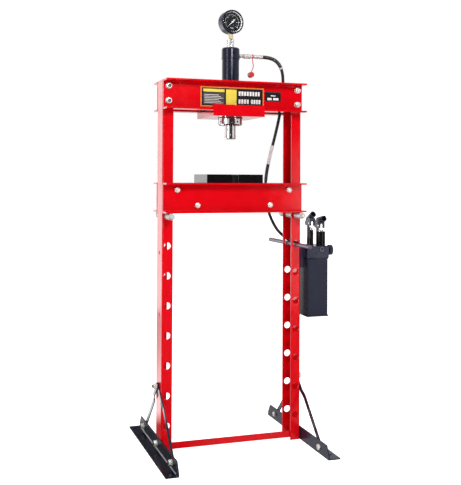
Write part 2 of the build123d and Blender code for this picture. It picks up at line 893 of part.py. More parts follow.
def release_knob():
    """The notched knob that opens the release valve, with its stem."""
    z = body_top - knob_z_drop
    start = body_right + knob_stem_length
    solid = rod(knob_diameter, (start, knob_y, z), (start + knob_width, knob_y, z))
    for i in range(knob_notch_count):
        way = Vector(0, knob_diameter / 2, 0).rotate(Axis.X, 360 * i / knob_notch_count)
        middle = Vector(start, knob_y, z) + way
        solid -= rod(knob_notch, middle - Vector(overrun, 0, 0), middle + Vector(knob_width + overrun, 0, 0))
    return solid + rod(knob_stem_diameter, (body_right + seat_gap, knob_y, z), (start, knob_y, z))


def plunger_barrel(unit):
    """The barrel that guides a plunger."""
    x = tank_left + unit.inset
    bore = unit.plunger + 2 * clearance
    return tube(unit.barrel, bore, (x, unit_y, body_top), (x, unit_y, body_top + unit.barrel_height))


def plunger(unit):
    """A plunger with a flat tongue for the lever's pin."""
    x = tank_left + unit.inset
    pin = body_top + unit.pin_height
    half = tongue_width / 2
    length = tongue_length / 2
    solid = rod(unit.plunger, (x, unit_y, body_top + seat_gap), (x, unit_y, pin - tongue_drop))
    solid += block((x - half, x + half), (unit_y - length, unit_y + length),
                   (pin - tongue_drop, pin + tongue_rise))
    bore = lever_pin_diameter + 2 * clearance
    return solid - rod(bore, (x - half - overrun, unit_y, pin), (x + half + overrun, unit_y, pin))


def lever_pin(unit, y):
    """A pin across a lever's ears."""
    x = tank_left + unit.inset
    pin = body_top + unit.pin_height
    reach = tongue_width / 2 + ear_gap + ear_wall
    return rod(lever_pin_diameter, (x - reach, y, pin), (x + reach, y, pin))


def fulcrum_post(unit):
    """The post behind a plunger that carries its lever."""
    x = tank_left + unit.inset
    pin = body_top + unit.pin_height
    half = tongue_width / 2
    length = tongue_length / 2
    solid = block((x - half, x + half), (fulcrum_y - length, fulcrum_y + length), (body_top, pin))
    solid += rod(tongue_length, (x - half, fulcrum_y, pin), (x + half, fulcrum_y, pin))
    bore = lever_pin_diameter + 2 * clearance
    reach = half + overrun
    return solid - rod(bore, (x - reach, fulcrum_y, pin), (x + reach, fulcrum_y, pin))


def socket_way(unit):
    """The way a lever's socket points at rest."""
    return Vector(0, -cos(radians(unit.lift)), sin(radians(unit.lift)))


def socket_start(unit):
    """The closed end of a lever's socket."""
    return Vector(tank_left + unit.inset, fulcrum_y - unit.start, body_top + unit.pin_height + unit.rise)


def lever_socket(unit):
    """A forked lever with a socket for the pump handle."""
    x = tank_left + unit.inset
    pin = body_top + unit.pin_height
    inner = tongue_width / 2 + ear_gap
    outer = inner + ear_wall
    half = ear_height / 2
    start = socket_start(unit)
    way = socket_way(unit)
    mouth = start + way * socket_length
    solid = rod(socket_diameter, start, mouth)
    solid += block((x - outer, x + outer), (unit_y - ear_reach, fulcrum_y), (pin - half, pin + ear_top))
    solid += rod(ear_height, (x - outer, fulcrum_y, pin), (x + outer, fulcrum_y, pin))
    gap_top = pin + tongue_rise + slot_travel
    gap_back = fulcrum_y + ear_height / 2 + overrun
    gap_front = unit_y - tongue_length / 2 - 2 * slot_travel
    solid -= block((x - inner, x + inner), (gap_front, gap_back), (pin - half - overrun, gap_top))
    solid -= rod(socket_bore, mouth - way * socket_depth, mouth + way * overrun)
    reach = outer + overrun
    bore = lever_pin_diameter + 2 * clearance
    solid -= rod(bore, (x - reach, fulcrum_y, pin), (x + reach, fulcrum_y, pin))
    slot = lever_pin_diameter + 2 * slot_play
    for y in (unit_y - slot_travel, unit_y):
        solid -= rod(slot, (x - reach, y, pin), (x + reach, y, pin))
    wide = (x - reach, x + reach)
    return solid - block(wide, (unit_y - slot_travel, unit_y), (pin - slot / 2, pin + slot / 2))


def pump_handle():
    """The loose pump handle, kept in a hole of the right post."""
    z = hole_heights[-2] - (hole_diameter - handle_diameter) / 2 + seat_gap
    solid = rod(handle_diameter, (hole_x, handle_front, z), (hole_x, handle_back, z))
    return chamfer(solid.edges().filter_by(GeomType.CIRCLE), handle_bevel)


def build():
    """Every piece of the press, by node name."""
    nodes = {}
    nodes["left_post"] = post(-1)
    nodes["right_post"] = post(1)
    nodes["front_head_channel"] = head_channel(-1)
    nodes["rear_head_channel"] = head_channel(1)
    nodes["head_fasteners"] = head_fasteners()
    nodes["base_crossbar"] = base_crossbar()
    nodes["left_foot"] = foot(-1)
    nodes["right_foot"] = foot(1)
    nodes["left_front_brace"] = brace(-1, -1, 0)
    nodes["left_rear_brace"] = brace(-1, 1, 1)
    nodes["right_front_brace"] = brace(1, -1, 0)
    nodes["right_rear_brace"] = brace(1, 1, 1)
    nodes["foot_fasteners"] = foot_fasteners()
    nodes["front_bed_channel"] = bed_channel(-1)
    nodes["rear_bed_channel"] = bed_channel(1)
    nodes["bed_spacers"] = bed_spacers()
    nodes["tie_fasteners"] = tie_fasteners()
    nodes["left_bed_pin"] = bed_pin(-1)
    nodes["right_bed_pin"] = bed_pin(1)
    nodes["left_arbor_plate"] = arbor_plate(-1)
    nodes["right_arbor_plate"] = arbor_plate(1)
    nodes["ram_cradle"] = ram_cradle()
    nodes["cylinder_barrel"] = cylinder_barrel()
    nodes["ring_nut"] = ring_nut()
    nodes["ring_washer"] = ring_washer()
    nodes["ram"] = ram()
    nodes["piston"] = piston()
    nodes["piston_seal"] = piston_seal()
    nodes["return_spring"] = return_spring()
    nodes["gauge_adapter"] = gauge_adapter()
    nodes["gauge_stem"] = gauge_stem()
    nodes["gauge_case"] = gauge_case()
    nodes["gauge_movement"] = gauge_movement()
    nodes["gauge_dial"] = gauge_dial()
    nodes["gauge_needle"] = gauge_needle()
    nodes["gauge_lens"] = gauge_lens()
    nodes["gauge_bezel"] = gauge_bezel()
    nodes["port_nipple"] = port_nipple()
    nodes["quick_coupler"] = quick_coupler()
    nodes["strap_ring"] = strap_ring()
    nodes["hose_ferrules"] = group([hose_ferrule(), pump_ferrule()])
    nodes["hose"] = cord("hose", hose_points(), hose_diameter)
    nodes["pump_elbow"] = pump_elbow()
    nodes["cap_lanyard"] = cord("lanyard", lanyard_points(), lanyard_diameter)
    nodes["dust_cap"] = dust_cap()
    nodes["pump_bracket"] = pump_bracket()
    nodes["bracket_fasteners"] = bracket_fasteners()
    nodes["pump_tank"] = pump_tank()
    nodes["pump_gasket"] = pump_gasket()
    nodes["pump_body"] = pump_body()
    plugs = [plug(plug_place, plug_diameter), plug(small_plug_place, small_plug_diameter)]
    nodes["pump_plugs"] = group(plugs)
    nodes["release_knob"] = release_knob()
    units = (thin_unit, thick_unit)
    nodes["plunger_barrels"] = group([plunger_barrel(unit) for unit in units])
    posts = [fulcrum_post(unit) for unit in units]
    nodes["fulcrums"] = group(posts + [lever_pin(unit, fulcrum_y) for unit in units])
    for name, unit in zip(("thin", "thick"), units):
        nodes[name + "_plunger"] = group([plunger(unit), lever_pin(unit, unit_y)])
        nodes[name + "_lever_socket"] = lever_socket(unit)
    nodes["pump_handle"] = pump_handle()
    return nodes


for node, solid in build().items():
    print(node, len(solid.solids()), "solid(s), volume", round(solid.volume))
    export_step(solid, "parts/" + node + ".step")
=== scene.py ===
# %% [markdown]
# # A hydraulic shop press, dressed
#
# A shop press is a steel frame that stands on the floor. A hand pump pushes oil through a hose into
# a cylinder, and the cylinder's ram squeezes whatever lies on the bed. The CAD model already holds
# every piece at its real size, so this lesson loads it as a fixed frame and gives it its looks:
# paint, plating, rubber, print, and the small rounded details that a CAD solid leaves out.

# %% Load the frame
from math import cos, pi, radians, sin

import bmesh
import bpy
from mathutils import Matrix, Vector


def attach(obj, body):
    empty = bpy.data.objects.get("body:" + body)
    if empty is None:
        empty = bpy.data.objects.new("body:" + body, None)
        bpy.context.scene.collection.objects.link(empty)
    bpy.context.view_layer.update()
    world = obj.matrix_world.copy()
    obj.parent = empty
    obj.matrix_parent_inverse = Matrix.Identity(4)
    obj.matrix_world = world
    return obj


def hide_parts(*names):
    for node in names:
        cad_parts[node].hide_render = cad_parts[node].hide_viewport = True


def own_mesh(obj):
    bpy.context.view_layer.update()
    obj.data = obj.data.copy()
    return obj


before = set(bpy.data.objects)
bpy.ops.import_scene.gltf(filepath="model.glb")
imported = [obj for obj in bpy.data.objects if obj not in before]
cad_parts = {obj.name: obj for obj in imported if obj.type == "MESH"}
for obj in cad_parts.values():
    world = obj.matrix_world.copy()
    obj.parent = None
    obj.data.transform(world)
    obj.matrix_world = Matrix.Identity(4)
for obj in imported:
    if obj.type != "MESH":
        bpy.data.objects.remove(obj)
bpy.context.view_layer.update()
mm = 0.001

# %% [markdown]
# ## Camera
#
# The picture was taken from the left of the press, about level with its bed, with a lens of moderate
# length. The eye level lies above the middle of the picture while the posts stay upright, so the
# camera looks straight ahead and the lens is shifted down, as an architect's camera is. The image is
# taken to be 461 by 485 pixels, and the sensor is fitted to the longer side.

# %% Camera
image_width, image_height = 461, 485
focal_pixels = 830.92
eye_pixel = (231.45, 166.23)
yaw, pitch, roll = radians(18.506), radians(0.777), radians(0.261)
camera_place = (-1.0042, -3.0169, 1.0095)
ahead = Vector((sin(yaw) * cos(pitch), cos(yaw) * cos(pitch), sin(pitch)))
level = Vector((cos(yaw), -sin(yaw), 0))
rise = level.cross(ahead)
right = level * cos(roll) + rise * sin(roll)
up = rise * cos(roll) - level * sin(roll)

lens = bpy.data.cameras.new("camera")
lens.sensor_width = 36
lens.lens = lens.sensor_width * focal_pixels / image_height
lens.shift_x = (image_width / 2 - eye_pixel[0]) / image_height
lens.shift_y = (eye_pixel[1] - image_height / 2) / image_height
lens.clip_end = 60
camera = bpy.data.objects.new("camera", lens)
turn = Matrix((right, up, -ahead)).transposed().to_4x4()
camera.matrix_world = Matrix.Translation(camera_place) @ turn
bpy.context.scene.collection.objects.link(camera)
bpy.context.scene.camera = camera
print("lens", round(lens.lens, 1), "mm, shift", round(lens.shift_x, 4), round(lens.shift_y, 4))

# %% [markdown]
# ## Studio
#
# A product photograph is taken in a white room with large soft boxes. The floor, the room and the
# finishes are all made of nodes here, so a few helpers come first. A material and the world each own a
# tree of nodes, and most of the helpers work on either. The view transform is set to Standard, because
# the default one washes out a strong red.

# %% Helpers for nodes
bpy.context.scene.view_settings.view_transform = "Standard"


def start_finish(name):
    """A material with its shader and its Object coordinates ready to wire."""
    material = bpy.data.materials.new(name)
    material.use_nodes = True
    nodes = material.node_tree.nodes
    coordinates = nodes.new("ShaderNodeTexCoord")
    return material, nodes["Principled BSDF"], coordinates.outputs["Object"]


def join(owner, source, target):
    """Wires one socket to another, in a material or in the world."""
    owner.node_tree.links.new(source, target)


def spread(owner, factor, low, high, start=0.3, end=0.7):
    """Turns a factor between start and end into a value between low and high."""
    node = owner.node_tree.nodes.new("ShaderNodeMapRange")
    for name, value in zip(("From Min", "From Max", "To Min", "To Max"), (start, end, low, high)):
        node.inputs[name].default_value = value
    join(owner, factor, node.inputs["Value"])
    return node.outputs["Result"]


def towards(owner, place, way):
    """How far a place lies along a way, or how nearly a direction points that way."""
    node = owner.node_tree.nodes.new("ShaderNodeVectorMath")
    node.operation = "DOT_PRODUCT"
    node.inputs[1].default_value = way
    join(owner, place, node.inputs[0])
    return node.outputs["Value"]


def reckon(owner, operation, first, second):
    """The result of a sum with two sockets, such as MULTIPLY or MAXIMUM."""
    node = owner.node_tree.nodes.new("ShaderNodeMath")
    node.operation = operation
    join(owner, first, node.inputs[0])
    join(owner, second, node.inputs[1])
    return node.outputs["Value"]


def blend_values(owner, factor, first, second):
    """A value that goes from first to second with a factor."""
    node = owner.node_tree.nodes.new("ShaderNodeMix")
    for name, source in (("Factor", factor), ("A", first), ("B", second)):
        join(owner, source, node.inputs[name])
    return node.outputs["Result"]


def blend_colours(owner, factor, first, second):
    """A colour that goes from first to second with a factor; either may be a socket."""
    node = owner.node_tree.nodes.new("ShaderNodeMix")
    node.data_type = "RGBA"
    join(owner, factor, node.inputs["Factor"])
    for socket, colour in ((node.inputs[6], first), (node.inputs[7], second)):
        if isinstance(colour, bpy.types.NodeSocket):
            join(owner, colour, socket)
        else:
            socket.default_value = (*colour, 1)
    return node.outputs[2]


# %% [markdown]
# ### Floor
#
# The press stands on a pale sheet that runs out of the picture, and the camera sees it as pure white. A
# glossy coat mirrors the floor as well, and an even white there would lift every dark piece to grey. The
# Light Path node tells what kind of ray is asking, so mirror images get a light of their own from the
# floor: dark in front of the press and bright behind it. On the left it turns bright only far behind,
# where the left braces mirror it and the left foot doesn't. The border between the two runs the way in
# which the left-hand faces mirror the camera's view.

# %% Floor
floor_mesh = bmesh.new()
bmesh.ops.create_grid(floor_mesh, x_segments=1, y_segments=1, size=20)
floor_data = bpy.data.meshes.new("floor")
floor_mesh.to_mesh(floor_data)
floor_mesh.free()
floor = bpy.data.objects.new("floor", floor_data)
bpy.context.scene.collection.objects.link(floor)

floor_paint, floor_shader, floor_place = start_finish("floor_paint")
floor_shader.inputs["Roughness"].default_value = 0.8
floor_shader.inputs["Specular IOR Level"].default_value = 0.1
floor_shader.inputs["Emission Color"].default_value = (1, 1, 1, 1)
floor_ray = floor_paint.node_tree.nodes.new("ShaderNodeLightPath")
mirror_ray, camera_ray = floor_ray.outputs["Is Glossy Ray"], floor_ray.outputs["Is Camera Ray"]

floor_depth = towards(floor_paint, floor_place, (0, 1, 0))
floor_side = towards(floor_paint, floor_place, (1, 0.334, 0))
floor_behind = spread(floor_paint, floor_depth, 0.05, 0.9, start=-0.75, end=-0.35)
floor_far = spread(floor_paint, floor_depth, 0.05, 2.6, start=0.30, end=0.50)
floor_left = spread(floor_paint, floor_side, 0, 1, start=-0.1, end=-0.2)
floor_both = blend_values(floor_paint, floor_left, floor_behind, floor_far)
floor_glow = reckon(floor_paint, "MULTIPLY", floor_both, mirror_ray)
floor_light = reckon(floor_paint, "MAXIMUM", floor_glow, camera_ray)
join(floor_paint, floor_light, floor_shader.inputs["Emission Strength"])
floor_colour = blend_colours(floor_paint, mirror_ray, (0.9, 0.9, 0.9), (0.03, 0.03, 0.03))
join(floor_paint, floor_colour, floor_shader.inputs["Base Color"])
floor_data.materials.append(floor_paint)
print("floor:", len(floor_paint.node_tree.nodes), "nodes")

# %% [markdown]
# ### Room
#
# The camera always sees a white room. Dull surfaces see it bright behind the press and dim in front. A
# mirror shows the room, so chrome looks like chrome only where the room has bright and dark parts.
# Reflections therefore get a room of their own: white all round, with one black screen straight in front,
# in the direction that the flat faces mirror to the camera, and a small one behind, which the flat tops of
# the feet mirror. The flat paint stays deep, and every round piece of metal shows bright sides with a dark
# band between them.

# %% Room
world = bpy.data.worlds.new("studio")
world.use_nodes = True
backdrop = world.node_tree.nodes["Background"]
backdrop.inputs["Color"].default_value = (1, 1, 1, 1)
direction = world.node_tree.nodes.new("ShaderNodeTexCoord").outputs["Generated"]
room_ray = world.node_tree.nodes.new("ShaderNodeLightPath")

soft_light = spread(world, towards(world, direction, (0, 1, 0)), 0.10, 0.95, start=-0.5, end=0.6)
front_screen = spread(world, towards(world, direction, (0, -1, 0)), 0.90, 0.03, start=0.788, end=0.906)
feet_mirror = Vector((0.217, 0.926, 0.309)).normalized()
back_screen = spread(world, towards(world, direction, feet_mirror), 1.0, 0.1, start=0.982, end=0.994)
mirror_light = reckon(world, "MULTIPLY", front_screen, back_screen)
room_light = blend_values(world, room_ray.outputs["Is Glossy Ray"], soft_light, mirror_light)
strength = reckon(world, "MAXIMUM", room_light, room_ray.outputs["Is Camera Ray"])
join(world, strength, backdrop.inputs["Strength"])
bpy.context.scene.world = world
print("room:", len(world.node_tree.nodes), "nodes")

# %% [markdown]
# ### Lights
#
# The key light hangs high in front, out of the way of any mirror image that the flat faces could throw at
# the camera, so the red stays deep there. A strip on the right is in the way on purpose: it glows softly
# in the right-hand ends. Light from the left and from behind draws the bright edges, and a wide box
# overhead fills the tops.


# %% Lights
def softbox(name, place, aim, width, height, power):
    """A rectangular soft light at a place, turned to face the point that it aims at."""
    lamp = bpy.data.lights.new(name, "AREA")
    lamp.shape = "RECTANGLE"
    lamp.size, lamp.size_y, lamp.energy = width, height, power
    box = bpy.data.objects.new(name, lamp)
    facing = (Vector(aim) - Vector(place)).to_track_quat("-Z", "Y")
    box.matrix_world = Matrix.Translation(place) @ facing.to_matrix().to_4x4()
    bpy.context.scene.collection.objects.link(box)
    return box


softbox("key_front", (0.0, -3.3, 2.35), (0, 0, 0.8), width=1.1, height=0.9, power=86)
softbox("strip_left", (-2.9, -1.4, 1.3), (0, 0, 1.0), width=0.24, height=2.2, power=26)
softbox("rim_left", (-1.5, 2.9, 1.0), (-0.2, 0, 0.8), width=1.3, height=2.6, power=17)
softbox("top", (0.2, 0.2, 3.6), (0, 0, 0.8), width=2.4, height=2.4, power=12)
softbox("strip_right", (1.75, -2.85, 0.62), (0.27, -0.05, 0.62), width=0.6, height=1.2, power=10)

# %% [markdown]
# ## Finishes
#
# A finish is a material made of nodes. Each one here starts the same way: a Principled shader, and
# the Object coordinates, which for these pieces are metres in the frame of the press. Noise on those
# coordinates gives a paint its slight unevenness and a plating its cloudy patches, without any image.
# A Bevel node softens the shading across every edge, as a real broken edge does, and the angle
# between that softened normal and the true one marks the edges where paint thins or metal shines; on the
# black paints those edges get a painted highlight.


# %% Helpers for finishes
def noise(material, place, scale, detail=3.0, stretch=(1, 1, 1)):
    """Noise on a place in the material, stretched along an axis by a small scale there."""
    nodes = material.node_tree.nodes
    mapping = nodes.new("ShaderNodeMapping")
    mapping.inputs["Scale"].default_value = stretch
    join(material, place, mapping.inputs["Vector"])
    texture = nodes.new("ShaderNodeTexNoise")
    texture.inputs["Scale"].default_value = scale
    texture.inputs["Detail"].default_value = detail
    join(material, mapping.outputs["Vector"], texture.inputs["Vector"])
    return texture.outputs["Fac"]


def soften_edges(material, radius):
    """The softened normal of a broken edge, and a mask that is 1 along the edges."""
    nodes = material.node_tree.nodes
    rounding = nodes.new("ShaderNodeBevel")
    rounding.samples = 4
    rounding.inputs["Radius"].default_value = radius
    geometry = nodes.new("ShaderNodeNewGeometry")
    compare = nodes.new("ShaderNodeVectorMath")
    compare.operation = "DOT_PRODUCT"
    join(material, rounding.outputs["Normal"], compare.inputs[0])
    join(material, geometry.outputs["Normal"], compare.inputs[1])
    mask = spread(material, compare.outputs["Value"], 0, 1, start=0.98, end=0.8)
    return rounding.outputs["Normal"], mask


def emboss(material, shader, height, depth, normal):
    """Puts a bump of a real depth on the shader, over a softened normal."""
    bump = material.node_tree.nodes.new("ShaderNodeBump")
    bump.inputs["Distance"].default_value = depth
    join(material, height, bump.inputs["Height"])
    join(material, normal, bump.inputs["Normal"])
    join(material, bump.outputs["Normal"], shader.inputs["Normal"])


# %% [markdown]
# ### Paint
#
# The frame is powder coated in a strong red: a thick gloss skin with a faint orange-peel ripple about
# two millimetres across. The pump and the feet are in a satin black that leans to blue, flatter on the
# tank, and the cylinder and the braces are in a gloss black. The left foot gets a darker copy of the
# satin black, which is painted shade, with brighter edges as painted glints. One function makes them all,
# because they differ only in numbers. Along the edges the colour goes paler: on the red the skin draws
# thin there, and on the blacks the pale edges are a painted highlight.


# %% Paint
def paint(name, deep, bright, edge, roughness, peel, coat, gloss, edge_width=0.6 * mm):
    """A powder coat between two colours, paler on its edges, with an orange-peel ripple."""
    material, shader, place = start_finish(name)
    normal, edges = soften_edges(material, edge_width)
    cloud = noise(material, place, 7)
    skin = blend_colours(material, spread(material, cloud, 0, 1), deep, bright)
    # Paler edges: thin, worn paint on the red, and a painted highlight along the edges of the blacks.
    edge_breakup = noise(material, place, 120, detail=5)
    edge_wear_and_glint = reckon(material, "MULTIPLY", edges, spread(material, edge_breakup, 0.1, 0.8, start=0.4, end=0.65))
    join(material, blend_colours(material, edge_wear_and_glint, skin, edge), shader.inputs["Base Color"])
    patches = noise(material, place, 22)
    join(material, spread(material, patches, *roughness), shader.inputs["Roughness"])
    ripple = noise(material, place, 420, detail=1)
    emboss(material, shader, ripple, peel, normal)
    shader.inputs["Specular IOR Level"].default_value = gloss
    shader.inputs["Coat Weight"].default_value = coat
    shader.inputs["Coat Roughness"].default_value = 0.08
    return material


paints = {
    "red_paint": dict(deep=(0.60, 0.001, 0.005), bright=(0.70, 0.002, 0.008), edge=(0.72, 0.012, 0.016),
                      roughness=(0.10, 0.18), peel=0.008 * mm, coat=0.03, gloss=0.18),
    # The pale edge colours of the black paints below are painted highlights along their edges.
    "black_paint": dict(deep=(0.015, 0.016, 0.034), bright=(0.021, 0.022, 0.047), edge=(0.30, 0.30, 0.34),
                        roughness=(0.16, 0.27), peel=0.012 * mm, coat=0.02, gloss=0.12, edge_width=1.4 * mm),
    "flat_black": dict(deep=(0.020, 0.021, 0.036), bright=(0.026, 0.028, 0.047), edge=(0.30, 0.30, 0.34),
                       roughness=(0.22, 0.30), peel=0.012 * mm, coat=0.0, gloss=0.05, edge_width=1.4 * mm),
    # painted_shade_black is painted shade: a darker copy of the satin black for the left foot, with brighter
    # painted glints on its edges.
    "painted_shade_black": dict(deep=(0.004, 0.004, 0.012), bright=(0.007, 0.007, 0.019), edge=(0.40, 0.40, 0.46),
                       roughness=(0.16, 0.27), peel=0.012 * mm, coat=0.0, gloss=0.04, edge_width=1.4 * mm),
    "gloss_black": dict(deep=(0.003, 0.004, 0.018), bright=(0.007, 0.008, 0.032), edge=(0.06, 0.06, 0.10),
                        roughness=(0.16, 0.26), peel=0.005 * mm, coat=0.05, gloss=0.24),
}
finishes = {name: paint(name, **values) for name, values in paints.items()}
print("paints:", list(paints))

# %% [markdown]
# ### Metal
#
# Zinc plating is cloudy and a little warm, chrome is nearly a mirror, and the handle is bare drawn
# steel with fine lines along its length. They share one recipe: a metallic shader whose brightness and
# roughness wander with noise. A stretch of the noise along one axis turns it into drawn lines.


# %% Metal
def metal(name, deep, bright, roughness, grain=60, stretch=(1, 1, 1), depth=0.01 * mm, metallic=1.0,
          gloss=0.5, rim=1.0):
    """A bare or plated metal, cloudy at one scale and scratched at a finer one."""
    material, shader, place = start_finish(name)
    normal, edges = soften_edges(material, 0.8 * mm)
    cloud = noise(material, place, grain, stretch=stretch)
    body = blend_colours(material, spread(material, cloud, 0, 1), deep, bright)
    shine = tuple(min(1, 1.15 * channel) for channel in bright)
    join(material, blend_colours(material, edges, body, shine), shader.inputs["Base Color"])
    patches = noise(material, place, grain * 2.5, stretch=stretch)
    join(material, spread(material, patches, *roughness), shader.inputs["Roughness"])
    shader.inputs["Metallic"].default_value = metallic
    shader.inputs["Specular Tint"].default_value = (rim, rim, rim, 1)
    shader.inputs["Specular IOR Level"].default_value = gloss
    scratches = noise(material, place, grain * 12, detail=2, stretch=stretch)
    emboss(material, shader, scratches, depth, normal)
    return material


metals = {
    "zinc": dict(deep=(0.70, 0.67, 0.63), bright=(0.85, 0.82, 0.78), roughness=(0.22, 0.34),
                 metallic=0.4, rim=0.1),
    # painted_shade_thread is painted shade: a dark metal for the shanks of the bolts on the left.
    "painted_shade_thread": dict(deep=(0.06, 0.055, 0.05), bright=(0.11, 0.10, 0.09), roughness=(0.35, 0.5),
                        metallic=0.6, rim=0.1),
    "dull_zinc": dict(deep=(0.52, 0.52, 0.52), bright=(0.64, 0.64, 0.63), roughness=(0.36, 0.50),
                      metallic=0.5, rim=0.0),
    "chrome": dict(deep=(0.66, 0.66, 0.68), bright=(0.78, 0.78, 0.80), roughness=(0.06, 0.14),
                   depth=0.003 * mm, rim=0.0),
    "steel": dict(deep=(0.10, 0.085, 0.12), bright=(0.18, 0.155, 0.20), roughness=(0.34, 0.50),
                  stretch=(1, 0.08, 1)),
    "brass": dict(deep=(0.62, 0.52, 0.28), bright=(0.76, 0.66, 0.38), roughness=(0.32, 0.45), metallic=0.6),
    "black_plate": dict(deep=(0.003, 0.0025, 0.003), bright=(0.006, 0.005, 0.006), roughness=(0.10, 0.18),
                        grain=90, metallic=0.0, gloss=0.22),
    "spring_wire": dict(deep=(0.08, 0.08, 0.08), bright=(0.15, 0.148, 0.145), roughness=(0.25, 0.4), grain=300),
}
finishes |= {name: metal(name, **values) for name, values in metals.items()}
print("metals:", list(metals))

# %% [markdown]
# ### Rubber, plastic, glass and ink
#
# The hose has a matt rubber cover, the dust cap and its strap are a soft red plastic, the gauge has a
# glass front, and its dial and needle are printed in ink. The dull ones share a recipe with a fine
# grain. Glass needs the shader's own transmission, and a breath of haze where it was last wiped. It bends
# light a little less than real glass does, so that the room hardly shows over the dial.


# %% Rubber, plastic, ink and glass
def moulded(name, deep, bright, roughness, grain, depth, gloss=0.4):
    """A dull moulded or printed surface with a fine grain."""
    material, shader, place = start_finish(name)
    normal, _ = soften_edges(material, 0.5 * mm)
    cloud = noise(material, place, grain * 0.1)
    skin = blend_colours(material, spread(material, cloud, 0, 1), deep, bright)
    join(material, skin, shader.inputs["Base Color"])
    fine = noise(material, place, grain, detail=2)
    join(material, spread(material, fine, *roughness), shader.inputs["Roughness"])
    emboss(material, shader, fine, depth, normal)
    shader.inputs["Specular IOR Level"].default_value = gloss
    return material


mouldings = {
    "rubber": dict(deep=(0.010, 0.010, 0.013), bright=(0.020, 0.020, 0.024), roughness=(0.42, 0.6),
                   grain=900, depth=0.05 * mm),
    "red_plastic": dict(deep=(0.55, 0.008, 0.016), bright=(0.66, 0.014, 0.024), roughness=(0.3, 0.42),
                        grain=600, depth=0.02 * mm),
    "dial_black": dict(deep=(0.003, 0.003, 0.006), bright=(0.006, 0.006, 0.010), roughness=(0.4, 0.5),
                       grain=800, depth=0.01 * mm, gloss=0.1),
    "needle_white": dict(deep=(0.72, 0.72, 0.70), bright=(0.80, 0.80, 0.78), roughness=(0.35, 0.45),
                         grain=800, depth=0.01 * mm),
}
finishes |= {name: moulded(name, **values) for name, values in mouldings.items()}
for ink, deep, bright in (
    ("ink_orange", (0.72, 0.20, 0.035), (0.80, 0.25, 0.05)),
    ("ink_black", (0.004, 0.004, 0.005), (0.008, 0.008, 0.009)),
    ("ink_grey", (0.05, 0.05, 0.05), (0.075, 0.075, 0.075)),
    ("ink_yellow", (0.72, 0.60, 0.06), (0.80, 0.68, 0.09)),
    ("ink_white", (0.74, 0.74, 0.73), (0.82, 0.82, 0.81)),
    ("pale_rubber", (0.62, 0.62, 0.62), (0.74, 0.74, 0.74)),
    ("grey_rubber", (0.035, 0.035, 0.037), (0.060, 0.060, 0.062)),
):
    finishes[ink] = moulded(ink, deep, bright, (0.35, 0.5), grain=700, depth=0.01 * mm, gloss=0.12)

glass, glass_shader, glass_place = start_finish("glass")
glass_shader.inputs["Transmission Weight"].default_value = 1
glass_shader.inputs["IOR"].default_value = 1.25
haze = spread(glass, noise(glass, glass_place, 40), 0.0, 0.01)
join(glass, haze, glass_shader.inputs["Roughness"])
finishes["glass"] = glass
print("finishes:", len(finishes))

# %% [markdown]
# ### Putting the finishes on
#
# Each node of the CAD model arrives with a plain material that is named for its slot in the record.
# The finish of the same name takes its place, on the object's own material slot. A few nodes get a finish
# of their own instead, where one black of the press differs from another; the left foot's darker black
# is painted shade.

# %% Finishes on the CAD nodes
slot_of = {name: node.data.materials[0].name for name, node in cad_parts.items()}
# The left foot's darker black is painted shade.
own_finish = {"plunger_barrels": "black_plate", "gauge_case": "gloss_black", "pump_plugs": "gloss_black",
              "pump_tank": "flat_black", "left_foot": "painted_shade_black"}
for side in ("left", "right"):
    own_finish |= {f"{side}_front_brace": "gloss_black", f"{side}_rear_brace": "gloss_black"}
for name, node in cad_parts.items():
    node.material_slots[0].material = finishes[own_finish.get(name, slot_of[name])]
print("nodes finished:", len(slot_of))

# %% [markdown]
# ## Shapes for the detailed pieces
#
# A bmesh is a mesh that is still being shaped. Most small parts of a press are turned on a lathe, so
# the first helper draws half of a section, as places along the axis and radii in millimetres, and
# spins it. Nuts and bolt heads are turned blanks too: six flats are cut on them, and where a flat
# meets the turned chamfer it leaves the curved edge that makes a nut look like a nut. Shapes are made
# along Z at the origin, and moved to their place in the mesh itself, so the object stays unturned.


# %% Helpers for shapes
def lathe(profile, steps=40):
    """Spins (along, radius) points in millimetres round Z."""
    shape = bmesh.new()
    line = [shape.verts.new((radius * mm, 0, along * mm)) for along, radius in profile]
    edges = [shape.edges.new(pair) for pair in zip(line, line[1:])]
    bmesh.ops.spin(shape, geom=line + edges, cent=(0, 0, 0), axis=(0, 0, 1), angle=2 * pi, steps=steps,
                   use_merge=True)
    bmesh.ops.remove_doubles(shape, verts=shape.verts, dist=0.0005 * mm)
    bmesh.ops.recalc_face_normals(shape, faces=shape.faces)
    return shape


def cut_flats(shape, flats):
    """Cuts six flats on a turned blank, a distance apart in millimetres."""
    for i in range(6):
        way = Vector((cos(i * pi / 3), sin(i * pi / 3), 0))
        whole = shape.verts[:] + shape.edges[:] + shape.faces[:]
        bmesh.ops.bisect_plane(shape, geom=whole, plane_co=way * flats / 2 * mm, plane_no=way,
                               clear_outer=True)
        open_edges = [edge for edge in shape.edges if edge.is_boundary]
        bmesh.ops.holes_fill(shape, edges=open_edges)
    return shape


def slab(shape, low, high):
    """Adds a block between two corners in millimetres."""
    low, high = Vector(low) * mm, Vector(high) * mm
    size = Matrix.Diagonal((*(high - low), 1))
    bmesh.ops.create_cube(shape, size=1, matrix=Matrix.Translation((low + high) / 2) @ size)


def stand(start, way, turn=0.0):
    """The place of a shape that starts at a point in millimetres and runs along a way."""
    facing = Vector(way).to_track_quat("Z", "Y").to_matrix().to_4x4()
    return Matrix.Translation(Vector(start) * mm) @ facing @ Matrix.Rotation(turn, 4, "Z")


def put(shape, place):
    """Moves a shape to its place."""
    bmesh.ops.transform(shape, matrix=place, verts=shape.verts)
    return shape


